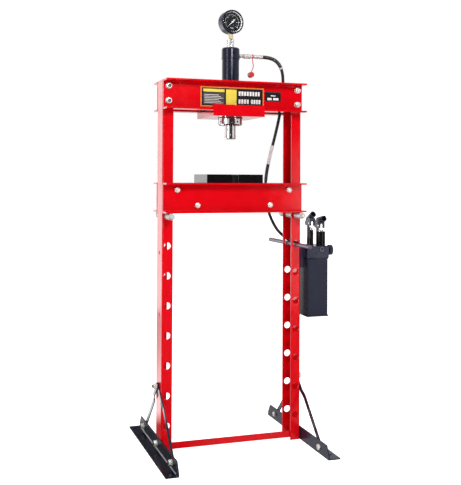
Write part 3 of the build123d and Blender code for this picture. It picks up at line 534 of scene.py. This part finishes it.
def together(shapes):
    """Several closed shapes as one."""
    whole = bmesh.new()
    for shape in shapes:
        part = bpy.data.meshes.new("part")
        shape.to_mesh(part)
        shape.free()
        whole.from_mesh(part)
        bpy.data.meshes.remove(part)
    return whole


def finish_piece(name, shape, finish, body, stands_for=(), sharp=35):
    """Makes a shape an object with a finish, on a body, in place of the CAD nodes that it stands for."""
    mesh = bpy.data.meshes.new(name)
    shape.to_mesh(mesh)
    shape.free()
    mesh.shade_smooth()
    mesh.set_sharp_from_angle(angle=radians(sharp))
    mesh.materials.append(finishes[finish])
    thing = bpy.data.objects.new(name, mesh)
    bpy.context.scene.collection.objects.link(thing)
    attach(thing, body)
    if stands_for:
        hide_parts(*stands_for)
    print(name, len(mesh.polygons), "faces")
    return thing


# %% [markdown]
# ## Bolts
#
# The frame is bolted with zinc-plated hex bolts, each with a washer and a nut, and a little of the
# thread shows past the nut. A plain six-sided prism would look like a toy, so the heads and nuts are
# chamfered blanks with flats, the washers have rolled edges and the thread has ridges. Each bolt is
# turned a little further than the one before, because nobody lines them up with a spanner. The thread
# ends on the left are painted dark as shade, so those faces get a second material.

# %% Helpers for bolts
frame_bolt = {"radius": 6, "flats": 19, "head": 7.5, "nut": 10, "washer": 12, "wall": 2.5, "tip": 4}
bracket_bolt = {"radius": 4, "flats": 13, "head": 5.5, "nut": 6.5, "washer": 8, "wall": 1.6, "tip": 3}


def nut_blank(size, height, bore):
    """A nut's turned blank with both ends chamfered, and its flats."""
    corner, face = size["flats"] * 0.577, size["flats"] * 0.475
    slope = (corner - face) * 0.577
    profile = [(0, bore), (0, face), (slope, corner),
               (height - slope, corner), (height, face), (height, bore)]
    return cut_flats(lathe(profile + profile[:1], steps=36), size["flats"])


def head_blank(size):
    """A bolt's head, growing from its bearing face, with a turned washer face under it."""
    corner, face, height = size["flats"] * 0.577, size["flats"] * 0.475, size["head"]
    slope = (corner - face) * 0.577
    profile = [(0, 0), (0, face), (0.4, face), (0.4, corner),
               (height - slope, corner), (height, face), (height, 0)]
    return cut_flats(lathe(profile, steps=36), size["flats"])


def shank(size, grip):
    """The bolt's shank, with ridges of thread where it comes out of the nut."""
    radius, end = size["radius"], grip + size["wall"] + size["nut"] + size["tip"]
    pitch, core = 0.13 * 2 * radius, 0.84 * radius
    profile = [(0, 0), (0, radius), (end - size["tip"] - 1, radius)]
    ridges = int((size["tip"] + 0.2) / pitch)
    for i in range(ridges):
        low = end - size["tip"] - 0.8 + i * pitch
        profile += [(low, core), (low + pitch / 2, radius)]
    return lathe(profile + [(end - 0.7, core), (end, 0.75 * radius), (end, 0)], steps=28)


def washer(size):
    """A flat washer with rolled edges."""
    wide, wall, bore = size["washer"], size["wall"], size["radius"] + 0.2
    edge = 0.25 * wall
    profile = [(0, bore), (0, wide - edge), (edge, wide),
               (wall - edge, wide), (wall, wide - edge), (wall, bore)]
    return lathe(profile + profile[:1], steps=36)


def bolts(name, size, faces, node, body):
    """A row of bolts, each from its head's face to its nut's face, in place of a CAD node."""
    shapes = []
    for i, (head_face, nut_face) in enumerate(faces):
        head_face, nut_face = Vector(head_face), Vector(nut_face)
        way, grip = (nut_face - head_face).normalized(), (nut_face - head_face).length
        turn = radians(25 * i)
        shapes.append(put(head_blank(size), stand(head_face, -way, turn)))
        thread = put(shank(size, grip), stand(head_face, way))
        # Shanks of the bolts on the left take the second material, a painted shade.
        for face in thread.faces:
            face.material_index = int(head_face.x < 0)
        shapes.append(thread)
        shapes.append(put(washer(size), stand(nut_face, way)))
        shapes.append(put(nut_blank(size, size["nut"], size["radius"] + 0.1),
                          stand(nut_face + way * size["wall"], way, turn + 0.4)))
    row = finish_piece(name, together(shapes), "zinc", body, [node])
    row.data.materials.append(finishes["painted_shade_thread"])
    return row


# %% Bolts of the frame
bolt_x, post_side, web_inside, web_outside = 255.5, 275.5, 39, 50
head_heights = (1291.5, 1346.5)
head_faces = [((x, face * web_inside, z), (x, face * web_outside, z))
              for face in (-1, 1) for x in (-bolt_x, bolt_x) for z in head_heights]
bolts("head_bolts", frame_bolt, head_faces, "head_fasteners", "frame")

post_wall, foot_wall, brace_wall = 5, 5, 4
foot_height, apex_height, brace_end = 25, 236, 222
foot_faces = []
for side in (-1, 1):
    inner, outer, apex = post_side - post_wall, post_side + foot_wall, post_side + 2 * brace_wall
    foot_faces.append(((side * inner, 0, foot_height), (side * outer, 0, foot_height)))
    foot_faces.append(((side * inner, 0, apex_height), (side * apex, 0, apex_height)))
    low, high = (post_side - brace_wall, outer) if side < 0 else (post_side, outer + brace_wall)
    foot_faces += [((side * low, y, foot_height), (side * high, y, foot_height))
                   for y in (-brace_end, brace_end)]
bolts("foot_bolts", frame_bolt, foot_faces, "foot_fasteners", "frame")

bracket_wall, bracket_heights = 4, (680, 724)
bracket_faces = [((post_side + bracket_wall, 0, z), (post_side - post_wall, 0, z)) for z in bracket_heights]
bolts("bracket_bolts", bracket_bolt, bracket_faces, "bracket_fasteners", "frame")

tie_reach, tie_places = 50.5, ((-222, 962.9), (222, 962.9), (-144, 904.9), (144, 904.9))
tie_faces = [((x, -tie_reach, z), (x, tie_reach, z)) for x, z in tie_places]
bolts("tie_bolts", frame_bolt, tie_faces, "tie_fasteners", "bed")

# %% [markdown]
# ## Bed pins
#
# The bed rests on two stepped pins, turned from bar with a broken edge at every end and a small
# shoulder where the nose starts. One profile, drawn for half a pin and mirrored in code, gives both.

# %% Bed pins
pin_half = [(0, 6.4), (1.6, 8), (15, 8), (16, 8.8), (16, 11), (17, 12)]
pin_length, pin_height = 240, 865.7
pin_profile = [(0, 0)] + pin_half + [(pin_length - along, radius) for along, radius in reversed(pin_half)]
for side, name in ((-1, "left"), (1, "right")):
    place = stand((side * bolt_x, -pin_length / 2, pin_height), (0, 1, 0))
    shape = put(lathe(pin_profile + [(pin_length, 0)]), place)
    finish_piece(f"{name}_pin", shape, "dull_zinc", "frame", [f"{name}_bed_pin"])

# %% [markdown]
# ## Collar of the cylinder
#
# The top of the cylinder is thicker: a collar with a rolled bead at its lower edge is pressed on the
# barrel. It is turned like the rest, and its bore lies on the barrel's own wall.

# %% Cylinder collar
collar_foot = 1462
collar = [(0, 33), (0, 34.4), (0.8, 35.2), (3.6, 35.2), (4.6, 34.3), (38, 34.3), (41.4, 31.6), (43, 30.4),
          (43, 29.6), (40, 32.9), (0, 33)]
shape = put(lathe(collar, steps=96), stand((0, 0, collar_foot), (0, 0, 1)))
finish_piece("barrel_collar", shape, "gloss_black", "frame")

# %% [markdown]
# ## Return spring
#
# Inside the barrel a coil spring lifts the ram when the oil is let out. Nobody sees it, so its wire gets
# only eight sides. A spin that climbs at every step is a screw, and it winds a circle into a coil. In the
# press the spring shortens as the ram comes down; here it rides on the frame at its full length.

# %% Return spring
spring_foot, spring_top, spring_radius, wire_radius = 1246, 1437, 22, 1.2
ram_travel, spring_turns, turn_sides = 100.5, 16, 24
winding = bmesh.new()
wire_start = Matrix.Translation(Vector((spring_radius, 0, spring_foot + wire_radius)) * mm)
bmesh.ops.create_circle(winding, cap_ends=True, segments=8, radius=wire_radius * mm,
                        matrix=wire_start @ Matrix.Rotation(pi / 2, 4, "X"))
climb = (spring_top - spring_foot - 2 * wire_radius) / (spring_turns * turn_sides)
bmesh.ops.spin(winding, geom=winding.verts[:] + winding.edges[:] + winding.faces[:], cent=(0, 0, 0),
               axis=(0, 0, 1), dvec=(0, 0, climb * mm), angle=2 * pi * spring_turns,
               steps=spring_turns * turn_sides)
bmesh.ops.recalc_face_normals(winding, faces=winding.faces)
spring = finish_piece("coil_spring", winding, "spring_wire", "frame", ["return_spring"])
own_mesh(spring)

# %% [markdown]
# ## Gauge
#
# The pressure gauge is a can with a rolled black bezel, a glass front, a black dial with a white
# scale, and a needle on a spindle. Everything is made in the gauge's own frame, with Z coming out of
# the dial, and one matrix then puts it on top of the cylinder, turned eight degrees to the side.

# %% Gauge bezel and window
gauge_turn, gauge_height, gauge_back = radians(8), 1604, 19
dial_out = Vector((sin(gauge_turn), -cos(gauge_turn), 0))
gauge_axes = Matrix(((cos(gauge_turn), sin(gauge_turn), 0), (0, 0, 1), dial_out)).transposed().to_4x4()
gauge_centre = Vector((0, 0, gauge_height)) * mm - dial_out * gauge_back * mm
gauge_place = Matrix.Translation(gauge_centre) @ gauge_axes

bezel_profile = [(28, 44.3), (28, 45.4), (28.5, 45.98), (36.5, 45.98), (38, 45.7), (39.2, 44.9), (40, 43.6),
                 (40, 42.2), (39.5, 40.9), (38.6, 40), (38, 40), (38, 44.3), (28, 44.3)]
bezel = put(lathe(bezel_profile, steps=96), gauge_place)
finish_piece("rolled_bezel", bezel, "gloss_black", "frame", ["gauge_bezel"])
window_profile = [(36, 0), (36, 41.5), (36.3, 41.8), (36.8, 41.8), (37.2, 41.0), (37.6, 30), (37.8, 15),
                  (37.9, 0)]
pane = put(lathe(window_profile, steps=72), gauge_place)
window = finish_piece("gauge_window", pane, "glass", "frame", ["gauge_lens"])
window.visible_shadow = False
ring_profile = [(30.7, 37.6), (30.7, 41.7), (35.9, 41.7), (35.6, 41.3), (31.0, 37.6), (30.7, 37.6)]
inner_ring = put(lathe(ring_profile, steps=96), gauge_place)
finish_piece("inner_ring", inner_ring, "ink_white", "frame")

# %% [markdown]
# The dial is printed. Ink has next to no thickness, but a separate thin piece keeps its edges sharp at
# any distance, where a painted texture would blur. Ticks are thin blocks set round the centre, the
# scale's line is a small face spun through three quarters of a turn, and the numbers are text objects
# made into meshes before they are moved.

# %% Dial print
ink_low, ink_high = 30.5, 30.62
scale_start, scale_sweep, scale_radius, line_width = radians(225), radians(270), 28, 0.7
tick_steps, number_steps, number_radius, number_height = 30, 6, 22, 3.6
print_shapes = []
for i in range(tick_steps + 1):
    angle = scale_start - scale_sweep * i / tick_steps
    length, half = (3.4, 0.3) if i % 5 == 0 else (1.6, 0.12)
    one = bmesh.new()
    slab(one, (scale_radius, -half, ink_low), (scale_radius + length, half, ink_high))
    print_shapes.append(put(one, Matrix.Rotation(angle, 4, "Z")))

scale_line = bmesh.new()
line_inside = scale_radius - line_width
line_section = ((line_inside, ink_low), (scale_radius, ink_low),
                (scale_radius, ink_high), (line_inside, ink_high))
corners = [scale_line.verts.new((r * mm, 0, z * mm)) for r, z in line_section]
section = scale_line.faces.new(corners)
bmesh.ops.spin(scale_line, geom=[section] + section.edges[:] + corners, cent=(0, 0, 0), axis=(0, 0, 1),
               angle=scale_sweep, steps=90)
bmesh.ops.recalc_face_normals(scale_line, faces=scale_line.faces)
print_shapes.append(put(scale_line, Matrix.Rotation(scale_start - scale_sweep, 4, "Z")))

under_bar = bmesh.new()
slab(under_bar, (-7, -22.5, ink_low), (7, -21.3, ink_high))
slab(under_bar, (-4.5, -25.5, ink_low), (4.5, -24.3, ink_high))
print_shapes.append(under_bar)


def number(words, height):
    """A number as a thin mesh, centred on the origin."""
    letters = bpy.data.curves.new("number", "FONT")
    letters.body, letters.size, letters.extrude = words, height * mm, (ink_high - ink_low) / 2 * mm
    letters.align_x, letters.align_y = "CENTER", "CENTER"
    holder = bpy.data.objects.new("number", letters)
    flat = bpy.data.meshes.new_from_object(holder)
    shape = bmesh.new()
    shape.from_mesh(flat)
    bmesh.ops.remove_doubles(shape, verts=shape.verts, dist=0.0005 * mm)
    bpy.data.objects.remove(holder)
    bpy.data.curves.remove(letters)
    bpy.data.meshes.remove(flat)
    return shape


for i in range(number_steps + 1):
    angle = scale_start - scale_sweep * i / number_steps
    centre = Vector((number_radius * cos(angle), number_radius * sin(angle), (ink_low + ink_high) / 2)) * mm
    print_shapes.append(put(number(str(10 * i), number_height), Matrix.Translation(centre)))
finish_piece("dial_print", put(together(print_shapes), gauge_place), "ink_white", "frame")

# %% [markdown]
# The needle is stamped from thin sheet: a long fine tip, and a broad arrow for a tail that balances it.
# A face drawn through its few corners is extruded to the sheet's thickness, and a turned hub caps it.

# %% Needle
needle_outline = [(30, 0), (3, 1.2), (-4, 1.5), (-9, 1.7), (-9.6, 3.2),
                  (-16, 0), (-9.6, -3.2), (-9, -1.7), (-4, -1.5), (3, -1.2)]
needle_low, needle_thick = 32.5, 1.2


def draw_out(shape, face, vec):
    """Extrudes one face of a shape along a vector, to a closed bar."""
    drawn = bmesh.ops.extrude_face_region(shape, geom=[face])["geom"]
    bmesh.ops.translate(shape, vec=vec, verts=[v for v in drawn if isinstance(v, bmesh.types.BMVert)])
    bmesh.ops.recalc_face_normals(shape, faces=shape.faces)


blade = bmesh.new()
sheet = blade.faces.new([blade.verts.new((x * mm, y * mm, needle_low * mm)) for x, y in needle_outline])
draw_out(blade, sheet, (0, 0, needle_thick * mm))
hub = lathe([(30, 0), (30, 1), (32.3, 1), (32.3, 3.6), (32.6, 4), (34, 4), (34.8, 3), (35, 0)], steps=36)
needle = put(together([blade, hub]), gauge_place @ Matrix.Rotation(scale_start, 4, "Z"))
finish_piece("needle_blade", needle, "ink_white", "needle", ["gauge_needle"])

# %% [markdown]
# Under the gauge, a brass stem screws into a chromed hex adapter on top of the cylinder. Both are bar
# stock with flats for a spanner, and a groove is turned round the adapter.

# %% Gauge stem and adapter
stem_foot, stem_top, adapter_foot = 1540, gauge_height - 15 - 0.3, 1505
stem = lathe([(0, 0), (0, 7.4), (1, 8.5), (stem_top - stem_foot, 8.5), (stem_top - stem_foot, 0)])
flats = cut_flats(lathe([(2.5, 0), (2.5, 8.9), (3.5, 9.8), (12, 9.8), (13, 8.9), (13, 0)]), 17.4)
brass_stem = put(together([stem, flats]), stand((0, 0, stem_foot), (0, 0, 1)))
finish_piece("brass_stem", brass_stem, "brass", "frame", ["gauge_stem"])
adapter_profile = [(0, 0), (0, 12.6), (1.2, 13.8), (9, 13.8), (9, 12.2),
                   (10.4, 12.2), (10.4, 13.8), (33.4, 13.8), (35, 12), (35, 0)]
adapter = put(cut_flats(lathe(adapter_profile, steps=48), 24), stand((0, 0, adapter_foot), (0, 0, 1)))
finish_piece("hex_adapter", adapter, "chrome", "frame", ["gauge_adapter"])

# %% [markdown]
# ## Hose fittings
#
# From the barrel outwards come a nipple, a screw coupler with a knurled grip, and a ferrule that is
# crimped on the hose in narrow rings. A knurl is made on the turned blank itself: every second line
# of points round the grip is drawn in a little, which leaves straight ridges a finger can hold.

# %% Fittings
line_height, nipple_start, coupler_start, ferrule_start = 1477, 24.3, 50, 98


def on_line(start):
    """The place of a fitting that starts at a distance from the cylinder's axis."""
    return stand((start, 0, line_height), (1, 0, 0))


nipple = [(0, 0), (0, 5.5), (10, 5.5), (10, 7.0), (10.8, 7.8), (16, 7.8), (17, 7), (25.7, 5.2), (25.7, 0)]
shape = put(lathe(nipple), on_line(nipple_start))
finish_piece("cone_nipple", shape, "dull_zinc", "frame", ["port_nipple"])

grip_steps, grip_low, grip_high, grip_radius, knurl = 72, 4.9, 17.1, 8.9, 0.955
coupler_profile = [(0, 0), (0, 7.2), (1.8, 9), (3, 9), (3.4, 8.3), (4.6, 8.3), (5, 9), (17, 9), (17.4, 8.3),
                   (18.6, 8.3), (19, 9), (29.2, 9), (31, 7.2), (31, 0)]
coupler = lathe(coupler_profile, steps=grip_steps)
drawn_in = []
for vert in coupler.verts:
    spoke = vert.co.to_2d()
    if grip_low * mm < vert.co.z < grip_high * mm and spoke.length > grip_radius * mm:
        if round(spoke.angle_signed(Vector((1, 0))) * grip_steps / (2 * pi)) % 2:
            drawn_in.append(vert)
bmesh.ops.scale(coupler, vec=(knurl, knurl, 1), verts=drawn_in)
put(coupler, on_line(coupler_start))
finish_piece("screw_coupler", coupler, "dull_zinc", "frame", ["quick_coupler"])


def ferrule(neck, length):
    """A crimped ferrule with its neck."""
    profile = [(-neck, 0), (-neck, 6), (-1, 6), (0, 7), (0.7, 7.75)]
    for ring in range(4):
        start = 4 + 6.4 * ring
        profile += [(start, 7.75), (start + 0.8, 7.1), (start + 3.4, 7.1), (start + 4.2, 7.75)]
    return lathe(profile + [(length - 0.6, 7.75), (length, 7.2), (length, 0)])


pump_end, pump_way = (316.34, 80, 737), (-cos(radians(30)), 0, 0.5)
ferrules = [put(ferrule(17, 32), on_line(ferrule_start)), put(ferrule(0, 32), stand(pump_end, pump_way))]
finish_piece("crimped_ferrules", together(ferrules), "dull_zinc", "frame", ["hose_ferrules"])

# %% [markdown]
# ## Hose
#
# A pressure hose leaves its crimped ferrule straight, arches over under its own stiffness and hangs
# down behind the bed to the pump. Its route is the CAD tube's own points, in metres, as the control
# points of a NURBS spline, so that the line has no kinks. The order of 3 and the pinned ends are set
# once the points are there.

# %% Hose
hose_points = [
    (0.1300, 0.0000, 1.4770), (0.1660, 0.0000, 1.4770), (0.2019, 0.0040, 1.4567), (0.2210, 0.0120, 1.4191),
    (0.2260, 0.0220, 1.3648), (0.2220, 0.0320, 1.2822), (0.2100, 0.0600, 1.1823), (0.1960, 0.0980, 1.0817),
    (0.1880, 0.1190, 0.9869), (0.1960, 0.1200, 0.9000), (0.2140, 0.1130, 0.8377), (0.2401, 0.0800, 0.7810),
    (0.2886, 0.0800, 0.7530),
]
hose_radius = 6


def smooth_line(name, points, radius):
    """A round cord on one NURBS spline with the given control points, in metres."""
    line = bpy.data.curves.new(name, "CURVE")
    line.dimensions = "3D"
    spline = line.splines.new("NURBS")
    spline.points.add(len(points) - 1)
    for target, point in zip(spline.points, points):
        target.co = (*point, 1)
    spline.order_u = 3
    spline.use_endpoint_u = True
    spline.resolution_u = 8
    line.bevel_depth = radius
    line.bevel_resolution = 6
    cord = bpy.data.objects.new(name, line)
    bpy.context.scene.collection.objects.link(cord)
    return cord


hose = smooth_line("pressure_hose", hose_points, hose_radius * mm)
hose.data.materials.append(finishes["rubber"])
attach(hose, "frame")
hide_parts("hose")
print("hose:", len(hose_points), "control points")

# %% [markdown]
# A coil of wire guards the hose where it leaves the ferrule, a pale band ends the guard, and further
# down a pale and a grey sleeve cover it. They all follow the hose, so their points are read from the
# hose's own spline: a copy of the curve without thickness becomes a mesh that is just its line.


# %% Pieces along the hose
def read_route(cord):
    """The points along a cord's own spline."""
    bare = bpy.data.objects.new("bare_line", cord.data.copy())
    bare.data.bevel_depth = 0
    bare.data.splines[0].resolution_u = 40
    line = bpy.data.meshes.new_from_object(bare)
    points = [vertex.co.copy() for vertex in line.vertices]
    bpy.data.meshes.remove(line)
    bpy.data.curves.remove(bare.data)
    return points


def between(points, start, end):
    """The points of a route from one distance along it to another, in metres."""
    run, chosen = 0.0, []
    for before, after in zip(points, points[1:]):
        if start <= run <= end:
            chosen.append(before)
        run += (after - before).length
    return chosen


def along_hose(name, points, radius, finish, sides=5):
    """A round piece that follows points of the hose, closed at both ends."""
    line = bpy.data.curves.new(name, "CURVE")
    line.dimensions = "3D"
    spline = line.splines.new("POLY")
    spline.points.add(len(points) - 1)
    for target, point in zip(spline.points, points):
        target.co = (*point, 1)
    line.bevel_depth, line.bevel_resolution, line.use_fill_caps = radius, sides, True
    holder = bpy.data.objects.new(name, line)
    tube = bpy.data.meshes.new_from_object(holder)
    shape = bmesh.new()
    shape.from_mesh(tube)
    bmesh.ops.remove_doubles(shape, verts=shape.verts, dist=0.0005 * mm)
    bpy.data.meshes.remove(tube)
    bpy.data.curves.remove(line)
    return finish_piece(name, shape, finish, "frame")


route = read_route(hose)
guard_end, band_end, pale_start, grey_start, grey_end = 92 * mm, 99 * mm, 405 * mm, 488 * mm, 556 * mm
guard_radius, guard_wire, turn_pitch, turn_steps = 6.7, 0.9, 2.6 * mm, 14
coil, run, sideways = [], 0.0, Vector((0, 1, 0))
for before, after in zip(route, route[1:]):
    run += (after - before).length
    if run > guard_end:
        break
    heading = (after - before).normalized()
    lift = heading.cross(sideways).normalized()
    steps = max(1, round((after - before).length / turn_pitch * turn_steps))
    for i in range(steps):
        here = run - (after - before).length * (1 - i / steps)
        angle = 2 * pi * here / turn_pitch
        spot = before.lerp(after, i / steps)
        coil.append(spot + (lift * cos(angle) + lift.cross(heading) * sin(angle)) * guard_radius * mm)
guard = along_hose("spring_guard", coil, guard_wire * mm, "spring_wire", sides=1)
band = along_hose("guard_band", between(route, guard_end, band_end), 7.4 * mm, "pale_rubber")
pale_run, grey_run = between(route, pale_start, grey_start), between(route, grey_start, grey_end)
pale_sleeve = along_hose("pale_sleeve", pale_run, 7.0 * mm, "pale_rubber")
grey_sleeve = along_hose("grey_sleeve", grey_run, 6.7 * mm, "grey_rubber")
print("guard turns:", round(guard_end / turn_pitch))

# %% [markdown]
# ## Plates on the head
#
# Two printed plates are stuck on the front of the head. Here they keep their places and colours, an
# orange border, a grey panel, a yellow field and rows of white bars, and carry no words. Each colour
# is a thin layer on the one below, as in screen printing.

# %% Printed plates
web_face = -50.0
layer = 0.12
printed = {
    "ink_orange": (0, [(-134, 1274, 118, 1350)]),
    "ink_black": (1, [(-129, 1279, 113, 1345), (122, 1300, 188, 1338)]),
    "ink_grey": (2, [(-123, 1284, -40, 1327), (124, 1335, 186, 1336.4), (124, 1301.6, 186, 1303)]),
    "ink_yellow": (2, [(-123, 1330, -40, 1341), (-34, 1283, 8, 1341)]),
    "ink_white": (3, [(16 + 11 * i, 1319, 24 + 11 * i, 1335) for i in range(8)]
                  + [(16 + 11 * i, 1289, 24 + 11 * i, 1305) for i in range(4)]
                  + [(66 + 10 * i, 1289, 73.5 + 10 * i, 1305) for i in range(4)]
                  + [(132, 1306, 150, 1315), (156, 1306, 178, 1315), (146, 1321, 166, 1325)]
                  + [(-119, 1288 + 6 * i, -119 + 74 - 9 * (i % 3), 1290 + 6 * i) for i in range(6)]),
}
for ink, (order, fields) in printed.items():
    shape = bmesh.new()
    back, front = web_face - layer * order, web_face - layer * (order + 1)
    for x_low, z_low, x_high, z_high in fields:
        slab(shape, (x_low, front, z_low), (x_high, back, z_high))
    finish_piece(f"plate_{ink[4:]}", shape, ink, "frame")

# %% [markdown]
# ## Welds
#
# The crossbar at the floor is welded to the posts. A weld run is a row of overlapping puddles, so a
# small ball is set down again and again along the joint and painted over with the frame.


# %% Welds of the crossbar
def weld_run(shape, start, end, radius=2.2, pitch=2.6):
    """Sets small puddles along a joint, in millimetres."""
    start, end = Vector(start), Vector(end)
    count = int((end - start).length / pitch) + 1
    for i in range(count):
        spot = start.lerp(end, i / (count - 1)) * mm
        bmesh.ops.create_icosphere(shape, subdivisions=2, radius=radius * mm * (0.92 + 0.08 * (i % 3)),
                                   matrix=Matrix.Translation(spot))


welds = bmesh.new()
for side in (-1, 1):
    x = side * (post_side - post_wall)
    weld_run(welds, (x, -36.4, 10.5), (x, -36.4, 31.5))
    weld_run(welds, (x, -31, 13.4), (x, -13.5, 13.4))
finish_piece("crossbar_welds", welds, "red_paint", "frame", sharp=80)

# %% [markdown]
# ## Folds of the feet
#
# The feet are angle bars, and a rolled angle is never sharp inside: its two legs meet in a small slope
# that catches the light in one long line. A triangle of three points is extruded along each fold.

# %% Folds of the feet
folds = bmesh.new()
fold_x, fold_height, fold_reach, fold_half = post_side + foot_wall, foot_wall, 3.5, 285
fold_corners = ((fold_x, fold_height), (fold_x + fold_reach, fold_height), (fold_x, fold_height + fold_reach))
for side in (-1, 1):
    corners = [folds.verts.new(Vector((side * x, -fold_half, z)) * mm) for x, z in fold_corners]
    draw_out(folds, folds.faces.new(corners), (0, 2 * fold_half * mm, 0))
finish_piece("foot_folds", folds, "gloss_black", "frame")

# %% [markdown]
# ## Plugs of the left post
#
# The left post has the same two holes for a pump as the right one. They are spare here, so they are shown
# closed with low domed plugs under the red paint, each a small turned piece.

# %% Plugs of the left post
plug_heights, plug = (499, 729), [(0, 6.6), (0.8, 6.6), (1.6, 5.4), (2.1, 3), (2.3, 0)]
plugs = [put(lathe(plug), stand((-post_side, 0, height), (-1, 0, 0))) for height in plug_heights]
finish_piece("post_plugs", together(plugs), "red_paint", "frame")

# %% [markdown]
# ## Pump trim
#
# The tank is a folded box between two rolled rims, and both rims are dipped in a glossier black. A rim is
# a band round a rectangle with round corners. It starts as a block: a bevel of its upright edges rounds
# the corners, a second bevel rolls the edges, and the two ends are inset, opened and bridged to a band.
# The drain plug has a bare rim as well, where the spanner has rubbed it.

# %% Rims of the tank and the plug
tank_low, tank_high, tank_round = Vector((298, -58)), Vector((389, 58)), 7.0
rim_reach, rim_wall, rim_roll = 0.9, 2.4, 0.8
foot_rim, top_rim, drain_plug = (471.2, 476.2), (694.6, 699.8), (358, -58, 732)


def rim(low, high):
    """A rolled band round the tank between two heights, in millimetres."""
    reach = Vector((rim_reach, rim_reach))
    shape = bmesh.new()
    slab(shape, (*(tank_low - reach), low), (*(tank_high + reach), high))
    upright = [edge for edge in shape.edges if edge.verts[0].co.to_2d() == edge.verts[1].co.to_2d()]
    bmesh.ops.bevel(shape, geom=upright, offset=(tank_round + rim_reach) * mm, segments=8, profile=0.5,
                    affect="EDGES", material=-1)
    ends = [face for face in shape.faces if abs(face.normal.z) > 0.9]
    bmesh.ops.bevel(shape, geom=[edge for face in ends for edge in face.edges], offset=rim_roll * mm,
                    segments=2, profile=0.5, affect="EDGES", material=-1)
    ends = [face for face in shape.faces if abs(face.normal.z) > 0.99]
    bmesh.ops.inset_region(shape, faces=ends, thickness=(rim_wall - rim_roll) * mm)
    bmesh.ops.delete(shape, geom=ends, context="FACES")
    bmesh.ops.bridge_loops(shape, edges=[edge for edge in shape.edges if edge.is_boundary])
    bmesh.ops.recalc_face_normals(shape, faces=shape.faces)
    return shape


rims = together([rim(*foot_rim), rim(*top_rim)])
finish_piece("tank_rims", rims, "gloss_black", "frame")
plug_rim = lathe([(0, 6.4), (0, 8.8), (3.1, 8.8), (3.5, 8.4), (3.5, 6.8), (3.1, 6.4), (0, 6.4)])
finish_piece("plug_rim", put(plug_rim, stand(drain_plug, (0, -1, 0))), "steel", "frame")

# %% [markdown]
# ## Strap of the dust cap
#
# A thin plastic loop sits on the coupler's neck, and a strap hangs from it with the cap on its end. The
# loop is turned, and the strap is another smooth line.

# %% Loop and strap
loop_start, strap_radius = 87.5, 1.7
loop = lathe([(0, 6.2), (0, 8.6), (0.6, 9.2), (3.4, 9.2), (4, 8.6), (4, 6.2), (0, 6.2)])
put(loop, on_line(loop_start))
finish_piece("strap_loop", loop, "red_plastic", "frame", ["strap_ring"])
lanyard_points = [
    (0.0895, 0, 1.4665), (0.0905, 0, 1.4555), (0.0935, 0, 1.4425), (0.0905, 0, 1.4285), (0.0835, 0, 1.4165),
]
lanyard = smooth_line("cap_strap", lanyard_points, strap_radius * mm)
lanyard.data.materials.append(finishes["red_plastic"])
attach(lanyard, "frame")
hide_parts("cap_lanyard")
